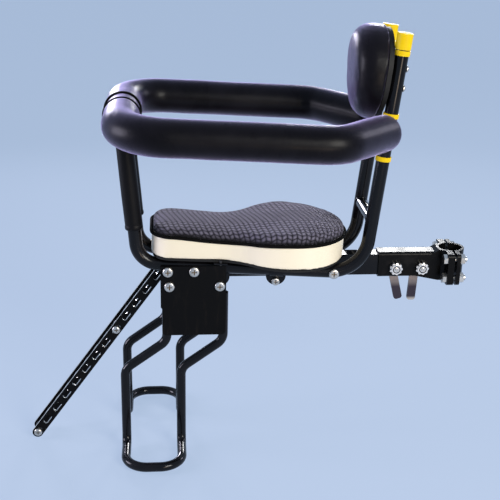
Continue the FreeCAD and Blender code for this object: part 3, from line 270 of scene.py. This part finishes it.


# Side plates and strut
# Pressed steel plates and perforated strips, in a thinner satin black paint that is scuffed in
# places. The strips are slotted, and their edges and slot walls get a pale bare-steel metal
# finish: a painted highlight that stands in for the light on the slot walls.

satin_dark = (0.0025, 0.0023, 0.0024, 1)
satin_scuffed = (0.01, 0.008, 0.007, 1)
edge_highlight_steel = (0.74, 0.71, 0.65, 1)
strip_inner = 0.0102
strip_outer = 0.0132
edge_blend = 0.0002


def satin_paint(name):
    """Satin black paint with long scuffs and a fine grain, and the paint colour before any painted
    edge highlight.
    """
    finish, shader, place = new_finish(name, {"IOR": 1.5, "Specular IOR Level": 0.1})
    scrapes = speckle(stretched(place, (1.0, 1.0, 0.15)), scale=120.0, detail=6.0, roughness=0.65)
    scuff = sharpen(scrapes, low=0.55, high=0.78)
    (0.3 + 0.25 * scuff).into(shader, "Roughness")
    grain = speckle(place, scale=1100.0, detail=2.0)
    raised(grain, strength=0.12, distance=0.0003).into(shader, "Normal")
    return finish, shader, place, between(scuff, satin_dark, satin_scuffed)


satin_black, shader, place, paint = satin_paint("satin_black")
paint.into(shader, "Base Color")
dress(satin_black, "left_side_plate", "right_side_plate")

strut_black, shader, place, paint = satin_paint("strut_black")
from_middle = along(place, 1).changed("ABSOLUTE")
# Painted highlight: the strips' edges and slot walls turn pale bare-steel metal.
edge_highlight = inside(from_middle, strip_inner + edge_blend, strip_outer - edge_blend, edge_blend)
between(edge_highlight, paint, edge_highlight_steel).into(shader, "Base Color")
edge_highlight.into(shader, "Metallic")
dress(strut_black, "left_strut_strip", "right_strut_strip")


# Base pan and backrest board
# Black injection-moulded plastic with a fine spark-eroded texture; the clips and screws hold them
# from behind.

moulded_dark = (0.007, 0.007, 0.0075, 1)
moulded_pale = (0.014, 0.014, 0.0145, 1)

moulded_black, shader, place = new_finish("moulded_black", {
    "IOR": 1.46, "Specular IOR Level": 0.25})
spark = speckle(place, scale=1600.0, detail=3.0)
between(spark, moulded_dark, moulded_pale).into(shader, "Base Color")
(0.5 + 0.14 * spark).into(shader, "Roughness")
raised(spark, strength=0.3, distance=0.0004).into(shader, "Normal")
dress(moulded_black, "seat_pan", "backrest_board")


# Post caps and bands
# Bright yellow soft plastic pushed over the back posts: a closed cap on top and loose rings below.

yellow_deep = (0.8, 0.53, 0.005, 1)
yellow_light = (0.9, 0.64, 0.01, 1)

yellow_plastic, shader, place = new_finish("yellow_plastic", {
    "IOR": 1.48, "Specular IOR Level": 0.15, "Subsurface Weight": 0.05})
cloud = speckle(place, scale=90.0, detail=3.0)
ripple = speckle(place, scale=700.0, detail=2.0)
between(cloud, yellow_deep, yellow_light).into(shader, "Base Color")
(0.4 + 0.14 * cloud).into(shader, "Roughness")
raised(ripple, strength=0.08, distance=0.0004).into(shader, "Normal")
dress(yellow_plastic, "post_caps", "post_bands")


# Ring pads
# Thick foam tubes in black leatherette slid over the ring, one each side, with a rolled lip at the
# front collar, a rounded end at the back post and a closing seam along the underside.

leather_black = (0.0028, 0.0024, 0.0032, 1)
leather_handled = (0.006, 0.0053, 0.0075, 1)
seat_origin = Vector((-0.172, 0.0, 0.0025))
seat_tilt = math.radians(2.6)
upwards = Vector((0.0, 0.0, 1.0))
ring_height = 0.196
ring_half = 0.127
ring_front = -0.28896
ring_corner = -0.021
ring_post = Vector((0.05404, -0.04198, ring_height))
ring_front_bend = 0.06
ring_rear_bend = 0.045
pad_radius = 0.024
pad_start = 0.0185
pad_lip = 0.0016
pad_end_round = 0.009
pad_end_inset = 0.004
pad_seam_depth = 0.0011
pad_lumps = 0.0012
front_runs, side_runs, rear_runs = 6, 20, 9
front_bend_steps, rear_bend_steps = 14, 8
round_count = 48
merge_gap = 0.00001
foam_lumps = bpy.data.textures.new("foam_lumps", "CLOUDS")
foam_lumps.noise_scale = 0.06

leatherette, shader, place = new_finish("leatherette", {
    "IOR": 1.5, "Specular IOR Level": 0.09, "Coat Roughness": 0.16, "Coat IOR": 1.45,
    "Sheen Weight": 1.0, "Sheen Roughness": 0.33, "Sheen Tint": (0.6, 0.55, 1.0, 1)})
creases = sharpen(cells(place, scale=620.0), low=0.0, high=0.16)
handled = sharpen(speckle(place, scale=18.0, detail=4.0), low=0.42, high=0.7)
puckers = speckle(place, scale=240.0, detail=3.0)
between(handled, leather_black, leather_handled).into(shader, "Base Color")
(0.26 + 0.08 * handled + 0.06 * (1 - creases)).into(shader, "Roughness")
(0.03 + 0.04 * handled).into(shader, "Coat Weight")
raised(creases + 0.6 * puckers, strength=0.16, distance=0.0005).into(shader, "Normal")


def deselect():
    bpy.ops.object.select_all(action="DESELECT")


def make_active(piece):
    deselect()
    piece.select_set(True)
    bpy.context.view_layer.objects.active = piece


def linked(piece):
    bpy.context.collection.objects.link(piece)
    return piece


def settle():
    """Move the selected piece's place, turn and scale into its mesh."""
    bpy.ops.object.transform_apply(location=True, rotation=True, scale=True)


def just_made(name):
    """The piece that an operator has just added, named and settled."""
    piece = bpy.context.object
    piece.name = name
    settle()
    return piece


def put_on_seat(piece):
    """Move a piece modelled in the seat's level frame into the tilted seat."""
    make_active(piece)
    piece.location = seat_origin
    piece.rotation_euler = (0.0, seat_tilt, 0.0)
    settle()


def start_round(name, radius, centre, direction):
    """A filled circle facing along a direction, open in edit mode with its face selected."""
    deselect()
    turn = upwards.rotation_difference(direction).to_euler()
    bpy.ops.mesh.primitive_circle_add(vertices=round_count, radius=radius, fill_type="NGON",
                                      location=centre, rotation=turn)
    piece = just_made(name)
    bpy.ops.object.mode_set(mode="EDIT")
    bpy.ops.mesh.select_mode(type="FACE")
    bpy.ops.mesh.select_all(action="SELECT")
    return piece


def draw_out(step, count):
    for _ in range(count):
        bpy.ops.mesh.extrude_region_move(TRANSFORM_OT_translate={"value": step / count})


def draw_to_radius(step, before, after, centre):
    """One short run on which the end face also changes its radius about its new centre."""
    draw_out(step, 1)
    bpy.ops.transform.resize(value=(after / before,) * 3, center_override=centre)


def close_round():
    """Leave edit mode with doubled points merged and all faces turned outwards."""
    bpy.ops.mesh.select_all(action="SELECT")
    bpy.ops.mesh.remove_doubles(threshold=merge_gap)
    bpy.ops.mesh.normals_make_consistent(inside=False)
    bpy.ops.object.mode_set(mode="OBJECT")


def apply_all(piece):
    make_active(piece)
    for modifier in list(piece.modifiers):
        bpy.ops.object.modifier_apply(modifier=modifier.name)


def add_smoothing(piece):
    smooth = piece.modifiers.new("smooth", "SUBSURF")
    smooth.levels = smooth.render_levels = 1


def plump(piece, amount):
    """Smooth the drawn shape and let the foam under the cover show as soft unevenness."""
    add_smoothing(piece)
    lumps = piece.modifiers.new("lumps", "DISPLACE")
    lumps.texture = foam_lumps
    lumps.texture_coords = "LOCAL"
    lumps.strength = amount
    lumps.mid_level = 0.5
    apply_all(piece)
    bpy.ops.object.shade_smooth()


def wear(piece, material, slot, body, *nodes):
    """Give a new piece its finish and body, and hide any CAD nodes that it stands for; the slot is
    not used.
    """
    piece.data.materials.clear()
    piece.data.materials.append(material)
    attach(piece, body)
    if nodes:
        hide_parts(*nodes)


def ring_cover(name):
    """The left cover, drawn from the front collar round the ring to the back post."""
    front = Vector((ring_front, -pad_start, ring_height))
    outward = Vector((0.0, -1.0, 0.0))
    piece = start_round(name, pad_radius - pad_lip, front, outward)
    draw_to_radius(outward * pad_lip, pad_radius - pad_lip, pad_radius, front + outward * pad_lip)
    draw_out(outward * (ring_half - ring_front_bend - pad_start - pad_lip), front_runs)
    front_centre = (ring_front + ring_front_bend, ring_front_bend - ring_half, ring_height)
    bpy.ops.mesh.spin(steps=front_bend_steps, angle=-math.pi / 2, axis=upwards,
                      center=front_centre)
    to_post = ring_post - Vector((ring_corner, -ring_half, ring_height))
    turn = math.atan2(to_post.y, to_post.x)
    reach = ring_rear_bend * math.tan(turn / 2)
    draw_out(Vector((ring_corner - reach - ring_front - ring_front_bend, 0.0, 0.0)), side_runs)
    rear_centre = (ring_corner - reach, ring_rear_bend - ring_half, ring_height)
    bpy.ops.mesh.spin(steps=rear_bend_steps, angle=-turn, axis=upwards, center=rear_centre)
    inward = to_post.normalized()
    draw_out(inward * (to_post.length - reach - pad_end_round), rear_runs)
    centre = ring_post - inward * pad_end_round
    radius = pad_radius
    along_before = 0.0
    for angle in (math.radians(30), math.radians(60), math.radians(90)):
        rounded = pad_radius - pad_end_round * (1 - math.cos(angle))
        along_now = pad_end_round * math.sin(angle)
        step = inward * (along_now - along_before)
        centre = centre + step
        draw_to_radius(step, radius, rounded, centre)
        radius = rounded
        along_before = along_now
    bpy.ops.mesh.inset(thickness=pad_end_inset)
    close_round()
    for point in piece.data.vertices:
        if point.co.z < ring_height - pad_radius + pad_seam_depth / 10:
            point.co.z += pad_seam_depth
    return piece


left_cover = ring_cover("left_ring_cover")
right_cover = linked(left_cover.copy())
right_cover.data = left_cover.data.copy()
right_cover.name = "right_ring_cover"
make_active(right_cover)
bpy.ops.object.mode_set(mode="EDIT")
bpy.ops.mesh.select_all(action="SELECT")
bpy.ops.transform.mirror(constraint_axis=(False, True, False), center_override=(0.0, 0.0, 0.0))
close_round()
for cover, side in ((left_cover, "left"), (right_cover, "right")):
    put_on_seat(cover)
    plump(cover, pad_lumps)
    wear(cover, leatherette, "pad_cover", "seat", side + "_ring_pad")


# Front collar
# A short leatherette cuff that hides the joint between the two covers, with a rolled lip at each
# end and a dull black cord laid in the seam on both sides.

cord_black = (0.002, 0.002, 0.002, 1)
cord_dusty = (0.006, 0.006, 0.006, 1)
collar_half = 0.0165
collar_radius = 0.023
collar_lip = 0.0014
collar_runs = 6
collar_lumps = 0.0006
cord_radius = 0.0018
cord_rise = 0.0006


def front_collar(name):
    """The cuff, drawn from the left lip to the right one."""
    outward = Vector((0.0, 1.0, 0.0))
    centre = Vector((ring_front, -collar_half, ring_height))
    piece = start_round(name, collar_radius - collar_lip, centre, outward)
    lip = outward * collar_lip
    draw_to_radius(lip, collar_radius - collar_lip, collar_radius, centre + lip)
    draw_out(outward * 2 * (collar_half - collar_lip), collar_runs)
    draw_to_radius(lip, collar_radius, collar_radius - collar_lip,
                   centre + outward * 2 * collar_half)
    close_round()
    return piece


collar = front_collar("front_collar_cuff")
put_on_seat(collar)
plump(collar, collar_lumps)
wear(collar, leatherette, "pad_cover", "seat", "front_collar")

dull_cord, shader, place = new_finish("dull_cord", {"IOR": 1.4, "Specular IOR Level": 0.1})
twist = speckle(place, scale=1800.0, detail=2.0)
between(twist, cord_black, cord_dusty).into(shader, "Base Color")
(0.8 + 0.15 * twist).into(shader, "Roughness")


def collar_cord(name, across):
    """A ring of cord in the seam beside the collar."""
    deselect()
    bpy.ops.mesh.primitive_torus_add(
        major_segments=round_count, minor_segments=10, major_radius=collar_radius + cord_rise,
        minor_radius=cord_radius, location=(ring_front, across, ring_height),
        rotation=(math.pi / 2, 0.0, 0.0))
    piece = just_made(name)
    put_on_seat(piece)
    bpy.ops.object.shade_smooth()
    return piece


for name, side in (("left", -1), ("right", 1)):
    cord = collar_cord(name + "_collar_cord", side * (collar_half + pad_start) / 2)
    wear(cord, dull_cord, "pad_cover", "seat")


# Upright sleeves
# Foam-rubber grip tubes pushed over the two front uprights, with a rolled edge at the bottom.

rubber_black = (0.0022, 0.002, 0.0024, 1)
rubber_pale = (0.0055, 0.005, 0.006, 1)
sleeve_radius = 0.0117
sleeve_edge = 0.0014
sleeve_foot = Vector((-0.26916, -0.03013, 0.0475))
sleeve_top = Vector((-0.28594, -0.02952, 0.1734))
sleeve_runs = 16
sleeve_lumps = 0.0005

grip_rubber, shader, place = new_finish("grip_rubber", {"IOR": 1.5, "Specular IOR Level": 0.12})
skin = speckle(place, scale=900.0, detail=3.0)
between(skin, rubber_black, rubber_pale).into(shader, "Base Color")
(0.34 + 0.16 * speckle(place, scale=30.0, detail=4.0)).into(shader, "Roughness")
raised(skin, strength=0.25, distance=0.0005).into(shader, "Normal")


def upright_sleeve(name, side):
    """One grip tube, drawn up from its rolled bottom edge."""
    foot = Vector((sleeve_foot.x, side * -sleeve_foot.y, sleeve_foot.z))
    top = Vector((sleeve_top.x, side * -sleeve_top.y, sleeve_top.z))
    upward = (top - foot).normalized()
    radius = sleeve_radius - sleeve_edge / 2
    piece = start_round(name, radius, foot, upward)
    reach = 0.0
    for step, wanted in ((sleeve_edge, sleeve_radius + sleeve_edge / 3),
                         (3 * sleeve_edge, sleeve_radius + sleeve_edge / 3),
                         (sleeve_edge, sleeve_radius - sleeve_edge / 4),
                         (sleeve_edge, sleeve_radius)):
        reach += step
        draw_to_radius(upward * step, radius, wanted, foot + upward * reach)
        radius = wanted
    draw_out(upward * ((top - foot).length - reach), sleeve_runs)
    close_round()
    return piece


for name, side in (("left", -1), ("right", 1)):
    sleeve = upright_sleeve(name + "_upright_grip", side)
    put_on_seat(sleeve)
    plump(sleeve, sleeve_lumps)
    wear(sleeve, grip_rubber, "sleeve_foam", "seat", name + "_upright_sleeve")


# Cushion
# A moulded foam block: a dark waffle-weave fabric crown sewn to a cream leatherette side. Both are
# blown up from the CAD solids by a cloth simulation that holds their sewn edges.

thread_dark = (0.004, 0.0036, 0.006, 1)
thread_pale = (0.21, 0.2, 0.285, 1)
fabric_dust = (0.03, 0.028, 0.045, 1)
painted_hem_shade = (0.003, 0.0027, 0.004, 1)
cream = (0.91, 0.84, 0.67, 1)
cream_pale = (0.93, 0.87, 0.72, 1)
tube_to_band = 0.0141
nose_station = 0.225
waist_station = 0.15
rear_station = 0.06
band_at_nose = 0.0305
band_at_waist = 0.026
band_at_rear = 0.034
weave_column = 0.0082
weave_row = 0.0088
column_slant = 0.16
row_zigzag = 0.5
thread_round = 2.2
waffle_depth = 1.1
turn_down = 0.02
fabric_top = 0.092
hem_shade_height = 0.0065
hem_shade_start = 1.5
side_seam = 0.005
crown_seam = 0.003
foam_pressure = 4.0
foam_stiffness = 25.0
blow_frames = 20


def merged_copy(name, node):
    """A new piece from a CAD solid's mesh, open in edit mode with its doubled points merged."""
    piece = linked(bpy.data.objects.new(name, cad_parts[node].data.copy()))
    make_active(piece)
    bpy.ops.object.mode_set(mode="EDIT")
    bpy.ops.mesh.select_all(action="SELECT")
    bpy.ops.mesh.remove_doubles(threshold=merge_gap)
    return piece


def soft_copy(name, node, shrink, voxel):
    """A CAD soft solid drawn in a little and remeshed evenly for the simulation."""
    piece = merged_copy(name, node)
    bpy.ops.object.mode_set(mode="OBJECT")
    draw_in = piece.modifiers.new("draw_in", "DISPLACE")
    draw_in.strength = -shrink
    draw_in.mid_level = 0.0
    apply_all(piece)
    piece.data.remesh_voxel_size = voxel
    bpy.ops.object.voxel_remesh()
    return piece


def inflate(piece, sewn, cap):
    """Blow the cover up against its sewn edges, and stop each point at the cap."""
    start = [point.co.copy() for point in piece.data.vertices]
    edge = piece.vertex_groups.new(name="sewn")
    edge.add([point.index for point in piece.data.vertices if sewn(point.co)], 1.0, "REPLACE")
    cloth = piece.modifiers.new("cloth", "CLOTH")
    cloth.settings.vertex_group_mass = "sewn"
    cloth.settings.use_pressure = True
    cloth.settings.uniform_pressure_force = foam_pressure
    cloth.settings.tension_stiffness = foam_stiffness
    cloth.settings.compression_stiffness = foam_stiffness
    cloth.settings.effector_weights.gravity = 0.0
    cloth.point_cache.frame_start = 1
    cloth.point_cache.frame_end = blow_frames
    scene = bpy.context.scene
    for number in range(1, blow_frames + 1):
        scene.frame_set(number)
    apply_all(piece)
    for point, before in zip(piece.data.vertices, start):
        moved = point.co - before
        if moved.length > cap:
            point.co = before + moved.normalized() * cap
    scene.frame_set(1)
    add_smoothing(piece)
    apply_all(piece)
    bpy.ops.object.shade_smooth()


def mark(piece, name, share):
    """Store a share from 0 to 1 at each point, for the piece's finish to read."""
    stored = piece.data.attributes.new(name, "FLOAT", "POINT")
    for point in piece.data.vertices:
        stored.data[point.index].value = share(point.co)


def in_seat(point):
    """A point as seen in the tilted seat: along it, across it and above the side tubes."""
    return Euler((0.0, -seat_tilt, 0.0)).to_matrix() @ (point - seat_origin)


def limited(share):
    return min(max(share, 0.0), 1.0)


def above_band_foot(point):
    return in_seat(point).z - tube_to_band


def above_band_edge(point):
    """Height of a point over the line where the crown meets the side, which dips at the waist."""
    reach = -in_seat(point).x
    if reach > waist_station:
        share = limited((nose_station - reach) / (nose_station - waist_station))
        before, after = band_at_nose, band_at_waist
    else:
        share = limited((waist_station - reach) / (waist_station - rear_station))
        before, after = band_at_waist, band_at_rear
    eased = share * share * (3.0 - 2.0 * share)
    return above_band_foot(point) - before - (after - before) * eased


def thread_profile(share):
    """Height of a round thread at a share of its width."""
    return 1 - (2 * share - 1).changed("ABSOLUTE") ** thread_round


seat_weave, shader, place = new_finish("seat_weave", {
    "IOR": 1.45, "Specular IOR Level": 0.3, "Sheen Weight": 0.25, "Sheen Roughness": 0.4,
    "Sheen Tint": (0.75, 0.72, 0.95, 1)})
cushion_low, cushion_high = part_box("seat_top")
lengthwise, across, up = (along(place, axis) for axis in range(3))
fall = fabric_top - up
toward_end = sharpen(lengthwise, cushion_low.x + turn_down, cushion_high.x - turn_down) * 2 - 1
toward_side = sharpen(across, -turn_down, turn_down) * 2 - 1
along_cloth = lengthwise + toward_end * fall
across_cloth = across + toward_side * fall
columns = (along_cloth + column_slant * across_cloth) * (1 / weave_column)
rows = across_cloth * (1 / weave_row) + row_zigzag * columns.maths("PINGPONG", columns, 1.0)
rib = thread_profile(columns.changed("FRACT"))
knot = thread_profile(rows.changed("FRACT"))
waffle = (rib * knot) ** waffle_depth
fuzz = speckle(place, scale=2600.0, detail=3.0)
dust = sharpen(speckle(place, scale=14.0, detail=3.0), low=0.3, high=0.75)
thread = between(waffle, thread_dark, thread_pale)
dusty = between(0.2 * dust, thread, fabric_dust)
# The crown's lowest strip, next to the piping, is painted near black: painted shade along the foot
# of the crown.
between(stored_share(place, "hem_shade"), dusty, painted_hem_shade).into(shader, "Base Color")
(0.92 - 0.18 * waffle).into(shader, "Roughness")
raised(waffle + 0.25 * fuzz, strength=0.9, distance=0.0013).into(shader, "Normal")

cream_vinyl, shader, place = new_finish("cream_vinyl", {"IOR": 1.48, "Coat Roughness": 0.25})
grain = sharpen(cells(place, scale=900.0), low=0.0, high=0.14)
blush = sharpen(speckle(place, scale=9.0, detail=3.0), low=0.35, high=0.7)
between(blush, cream, cream_pale).into(shader, "Base Color")
(0.36 + 0.12 * (1 - grain)).into(shader, "Roughness")
(0.2 + 0.1 * blush).into(shader, "Coat Weight")
raised(grain, strength=0.12, distance=0.0004).into(shader, "Normal")

cushion_side = soft_copy("cushion_side", "seat_side_band", shrink=0.0012, voxel=0.0045)
inflate(cushion_side, lambda point: above_band_foot(point) < side_seam
        or above_band_edge(point) > -side_seam, cap=0.0025)
wear(cushion_side, cream_vinyl, "cream_vinyl", "seat", "seat_side_band")

cushion_top = soft_copy("cushion_top", "seat_top", shrink=0.001, voxel=0.004)
inflate(cushion_top, lambda point: above_band_edge(point) < crown_seam, cap=0.005)
# Store where the painted shade runs: full at the foot of the crown and gone a few millimetres
# higher.
mark(cushion_top, "hem_shade", lambda point: limited(hem_shade_start - above_band_edge(point) / hem_shade_height))
wear(cushion_top, seat_weave, "seat_fabric", "seat", "seat_top")


# Cushion piping
# A dull black bead sewn round the cushion where the fabric crown meets the cream side.

piping_radius = 0.0023
piping_reach = 0.0008
sharp_edge = math.radians(45)


def edge_bead(name, node, wanted, radius):
    """A round bead along the sharp edges of a CAD solid that the test picks."""
    piece = merged_copy(name, node)
    bpy.ops.mesh.select_mode(type="EDGE")
    bpy.ops.mesh.select_all(action="DESELECT")
    bpy.ops.mesh.edges_select_sharp(sharpness=sharp_edge)
    bpy.ops.object.mode_set(mode="OBJECT")
    points = piece.data.vertices
    for edge in piece.data.edges:
        edge.select = edge.select and all(wanted(points[number].co) for number in edge.vertices)
    bpy.ops.object.mode_set(mode="EDIT")
    bpy.ops.mesh.select_all(action="INVERT")
    bpy.ops.mesh.delete(type="EDGE_FACE")
    bpy.ops.mesh.select_all(action="SELECT")
    bpy.ops.mesh.delete(type="ONLY_FACE")
    bpy.ops.object.mode_set(mode="OBJECT")
    bpy.ops.object.convert(target="CURVE")
    path = bpy.context.object
    path.data.bevel_depth = radius
    path.data.bevel_resolution = 3
    bpy.ops.object.convert(target="MESH")
    bpy.ops.object.shade_smooth()
    return bpy.context.object


piping = edge_bead("cushion_piping", "seat_side_band",
                   lambda point: above_band_edge(point) > -piping_reach, piping_radius)
wear(piping, dull_cord, "pad_cover", "seat")


# Weld beads
# The cross bar is welded to the two back posts, and the beads show under the enamel.

weld_radius = 0.0012
weld_clear = 0.02

welds = edge_bead("cross_bar_welds", "cross_bar",
                  lambda point: abs(point.y) > weld_clear, weld_radius)
wear(welds, enamel, "frame_black", "seat")


# Backrest pad
# A thick oval foam pillow in the same black leatherette, domed in front and drawn over the board
# behind it.

post_lean = math.radians(3.7)
post_behind = 0.0414
board_front = -0.01635
back_seam = 0.006
back_tilt = seat_tilt + post_lean
seat_turn = Euler((0.0, seat_tilt, 0.0)).to_matrix()
back_foot = seat_origin + seat_turn @ Vector((post_behind, 0.0, 0.0))


def back_depth(point):
    """Distance of a point behind the posts' centre line."""
    return (Euler((0.0, -back_tilt, 0.0)).to_matrix() @ (point - back_foot)).x


back_pillow = soft_copy("backrest_pillow", "backrest_pad", shrink=0.0015, voxel=0.0045)
inflate(back_pillow, lambda point: back_depth(point) > board_front - back_seam, cap=0.005)
wear(back_pillow, leatherette, "back_cover", "seat", "backrest_pad")


# Pan-head bolts
# Nickel-plated machine screws with a rounded head and a cross recess, through the plates, clips
# and strips; their nuts sit on the inner or far side.

plate_face = 0.05045
clip_face = 0.03938
head_height = 0.0042
head_rounding = head_height * 0.62
recess_depth = head_height * 0.9
recess_low = head_height * 0.3
recess_high = head_height * 0.7
shank_radius = 0.003
large_head = 0.007
small_head = 0.0056
through_length = 0.1074
clip_length = 0.0245
strut_length = 0.0329
near = Vector((0.0, -1.0, 0.0))
far = Vector((0.0, 1.0, 0.0))


def pick(parts, wanted):
    """Select the edges or faces that the test picks, and go back to edit mode."""
    bpy.ops.mesh.select_all(action="DESELECT")
    bpy.ops.object.mode_set(mode="OBJECT")
    for part in parts:
        part.select = wanted(part)
    bpy.ops.object.mode_set(mode="EDIT")


def cut_slot(piece, head, turn):
    """Cut one bar of the cross into the top of a bolt's head."""
    deselect()
    bpy.ops.mesh.primitive_cube_add(size=1.0, location=(0.0, 0.0, head_height))
    blade = bpy.context.object
    blade.scale = (head * 1.05, head * 0.2, recess_depth)
    blade.rotation_euler = (0.0, 0.0, turn)
    settle()
    make_active(piece)
    slot = piece.modifiers.new("slot", "BOOLEAN")
    slot.operation = "DIFFERENCE"
    slot.object = blade
    bpy.ops.object.modifier_apply(modifier="slot")
    bpy.data.objects.remove(blade)


def pan_head_bolt(name, head, spot, toward, length):
    """One bolt with its head's underside at the spot and its head facing a direction."""
    deselect()
    bpy.ops.mesh.primitive_cylinder_add(vertices=32, radius=head, depth=head_height,
                                        location=(0.0, 0.0, head_height / 2))
    piece = just_made(name)
    points = piece.data.vertices
    bpy.ops.object.mode_set(mode="EDIT")
    bpy.ops.mesh.select_mode(type="FACE")
    pick(piece.data.polygons, lambda face: face.normal.z < -0.9)
    bpy.ops.mesh.inset(thickness=head - shank_radius)
    bpy.ops.mesh.extrude_region_move(TRANSFORM_OT_translate={"value": (0.0, 0.0, -length)})
    pick(piece.data.edges, lambda edge: all(points[number].co.z > head_height * 0.9
                                            for number in edge.vertices))
    bpy.ops.mesh.select_mode(type="EDGE")
    bpy.ops.mesh.bevel(offset=head_rounding, segments=4, profile=0.6)
    bpy.ops.object.mode_set(mode="OBJECT")
    for turn in (0.0, math.pi / 2):
        cut_slot(piece, head, turn)
    mark(piece, "recess", lambda point: float(recess_low < point.z < recess_high
                                              and point.xy.length < 0.6 * head))
    make_active(piece)
    piece.rotation_mode = "QUATERNION"
    piece.rotation_quaternion = upwards.rotation_difference(toward)
    piece.location = spot
    settle()
    bpy.ops.object.shade_smooth_by_angle(angle=math.radians(35))
    return piece


def joined(name, parts):
    make_active(parts[0])
    for part in parts[1:]:
        part.select_set(True)
    if parts[1:]:
        bpy.ops.object.join()
    parts[0].name = name
    return parts[0]


bolt_sets = {
    "through_bolts": ("seat", [
        (large_head, (-0.395, -plate_face, 0.0085), near, through_length),
        (large_head, (-0.36, -plate_face, 0.0085), near, through_length),
        (large_head, (-0.393, -plate_face, -0.0126), near, through_length)]),
    "rear_cross_bolt": ("seat", [(large_head, (-0.172, -0.04936, 0.0025), near, 0.1052)]),
    "plate_clip_bolts": ("seat", [
        (large_head, (-0.32574, -plate_face, -0.01254), near, clip_length),
        (large_head, (-0.32574, plate_face, -0.01254), far, clip_length)]),
    "rear_clip_bolts": ("seat", [
        (small_head, (-0.24964, -clip_face, -0.01099), near, 0.0105),
        (small_head, (-0.24964, clip_face, -0.01099), far, 0.0105)]),
    "strut_bolts": ("strut", [
        (small_head, (-0.467, -strip_outer, -0.0906), near, strut_length),
        (small_head, (-0.58221, -strip_outer, -0.24917), near, strut_length)]),
}
for node, (body, spots) in bolt_sets.items():
    bolt = joined(node + "_cross_head", [pan_head_bolt(node, *spot) for spot in spots])
    wear(bolt, nickel, "nickel_steel", body, node)


# Floor, light and camera
# A plain pale blue floor that fills the picture, a soft box on the camera's right, one on each
# side, two low ones behind that give the covers and the clamp their edges of light, and a weak warm
# one beside the camera.

floor_colour = (0.6, 0.64, 0.7, 1)
floor_tint = (0.48, 0.62, 0.86, 1)
floor_evenness = 0.75
floor_gap = 0.002
room_colour = (0.82, 0.88, 0.97, 1)
room_strength = 0.2
air_colour = (0.38, 0.48, 0.65, 1)
key_white = (1.0, 0.96, 0.88)
cool_white = (0.86, 0.82, 1.0)
side_white = (0.88, 0.84, 1.0)
plain_white = (1.0, 1.0, 1.0)
warm_white = (1.0, 0.78, 0.58)
lamp_target = Vector((-0.3, 0.0, 0.1))
photo_spot = (-0.399, -1.2903, 0.4947)
camera_yaw = math.radians(5.201)
camera_drop = math.radians(20.133)
camera_roll = math.radians(1.158)


def seen_share(place, share):
    """The share where a surface is looked at, straight or in a mirror or glass, and 0 elsewhere."""
    camera_ray, glossy_ray, through_ray = (
        place.node("ShaderNodeLightPath", {}, {}, output=ray)
        for ray in ("Is Camera Ray", "Is Glossy Ray", "Is Transmission Ray"))
    looked_at = camera_ray + glossy_ray + through_ray
    return looked_at.maths("MINIMUM", looked_at, 1.0) * share


deselect()
bpy.ops.mesh.primitive_plane_add(size=30.0, location=(-0.25, 6.0, cad_box[0].z - floor_gap))
floor = just_made("studio_floor")
floor_paint, shader, place = new_finish("floor_paint", {
    "Base Color": floor_colour, "Roughness": 0.9, "Specular IOR Level": 0.1})
even = place.node("ShaderNodeEmission", {}, {"Color": floor_tint, "Strength": 1.0})
surface = place.node("ShaderNodeMixShader", {}, {
    0: seen_share(place, floor_evenness),
    1: Shade(floor_paint.node_tree, shader.outputs["BSDF"]), 2: even})
surface.into(floor_paint.node_tree.nodes["Material Output"], "Surface")
floor.data.materials.append(floor_paint)

world = bpy.data.worlds.new("studio")
bpy.context.scene.world = world
world.use_nodes = True
room = world.node_tree.nodes["Background"]
room.inputs["Color"].default_value = room_colour
room.inputs["Strength"].default_value = room_strength
air = Shade(world.node_tree, room.outputs["Background"])
pale_air = air.node("ShaderNodeBackground", {}, {"Color": air_colour, "Strength": 1.0})
backdrop = air.node("ShaderNodeMixShader", {}, {0: seen_share(air, 1.0), 1: air, 2: pale_air})
backdrop.into(world.node_tree.nodes["World Output"], "Surface")


def soft_box(name, spot, size, power, colour, spread):
    """A rectangular lamp, out of the camera's sight, that faces the middle of the seat."""
    lamp = bpy.data.lights.new(name, "AREA")
    lamp.shape = "RECTANGLE"
    lamp.size, lamp.size_y = size
    lamp.energy = power
    lamp.color = colour
    lamp.spread = math.radians(spread)
    holder = linked(bpy.data.objects.new(name, lamp))
    holder.location = spot
    holder.visible_camera = False
    holder.rotation_mode = "QUATERNION"
    holder.rotation_quaternion = (lamp_target - Vector(spot)).to_track_quat("-Z", "Y")


soft_box("key_box", (0.8, -1.75, 0.85), (0.9, 0.9), 38.5, key_white, spread=180)
soft_box("left_box", (-1.8, 0.0, 0.3), (0.65, 0.7), 5.0, cool_white, spread=90)
soft_box("far_left_box", (-1.05, 2.3, 0.5), (0.5, 0.36), 4.0, side_white, spread=70)
soft_box("right_box", (1.7, 0.8, 0.9), (0.6, 0.6), 10.0, side_white, spread=180)
soft_box("far_right_box", (0.45, 2.3, 0.85), (0.4, 0.35), 3.5, plain_white, spread=90)
soft_box("warm_fill", (0.3, -1.9, -0.05), (0.5, 0.25), 4.0, warm_white, spread=180)

ahead = Vector((math.sin(camera_yaw) * math.cos(camera_drop),
                math.cos(camera_yaw) * math.cos(camera_drop), -math.sin(camera_drop)))
level_right = ahead.cross(upwards).normalized()
level_up = level_right.cross(ahead)
right = level_right * math.cos(camera_roll) + level_up * math.sin(camera_roll)
view_up = level_up * math.cos(camera_roll) - level_right * math.sin(camera_roll)
lens = bpy.data.cameras.new("photo_camera")
lens.lens = 72.0
lens.sensor_width = 36.0
camera = linked(bpy.data.objects.new("photo_camera", lens))
camera.matrix_world = Matrix((right, view_up, -ahead)).transposed().to_4x4()
camera.location = photo_spot
bpy.context.scene.camera = camera
bpy.context.scene.view_settings.view_transform = "Standard"
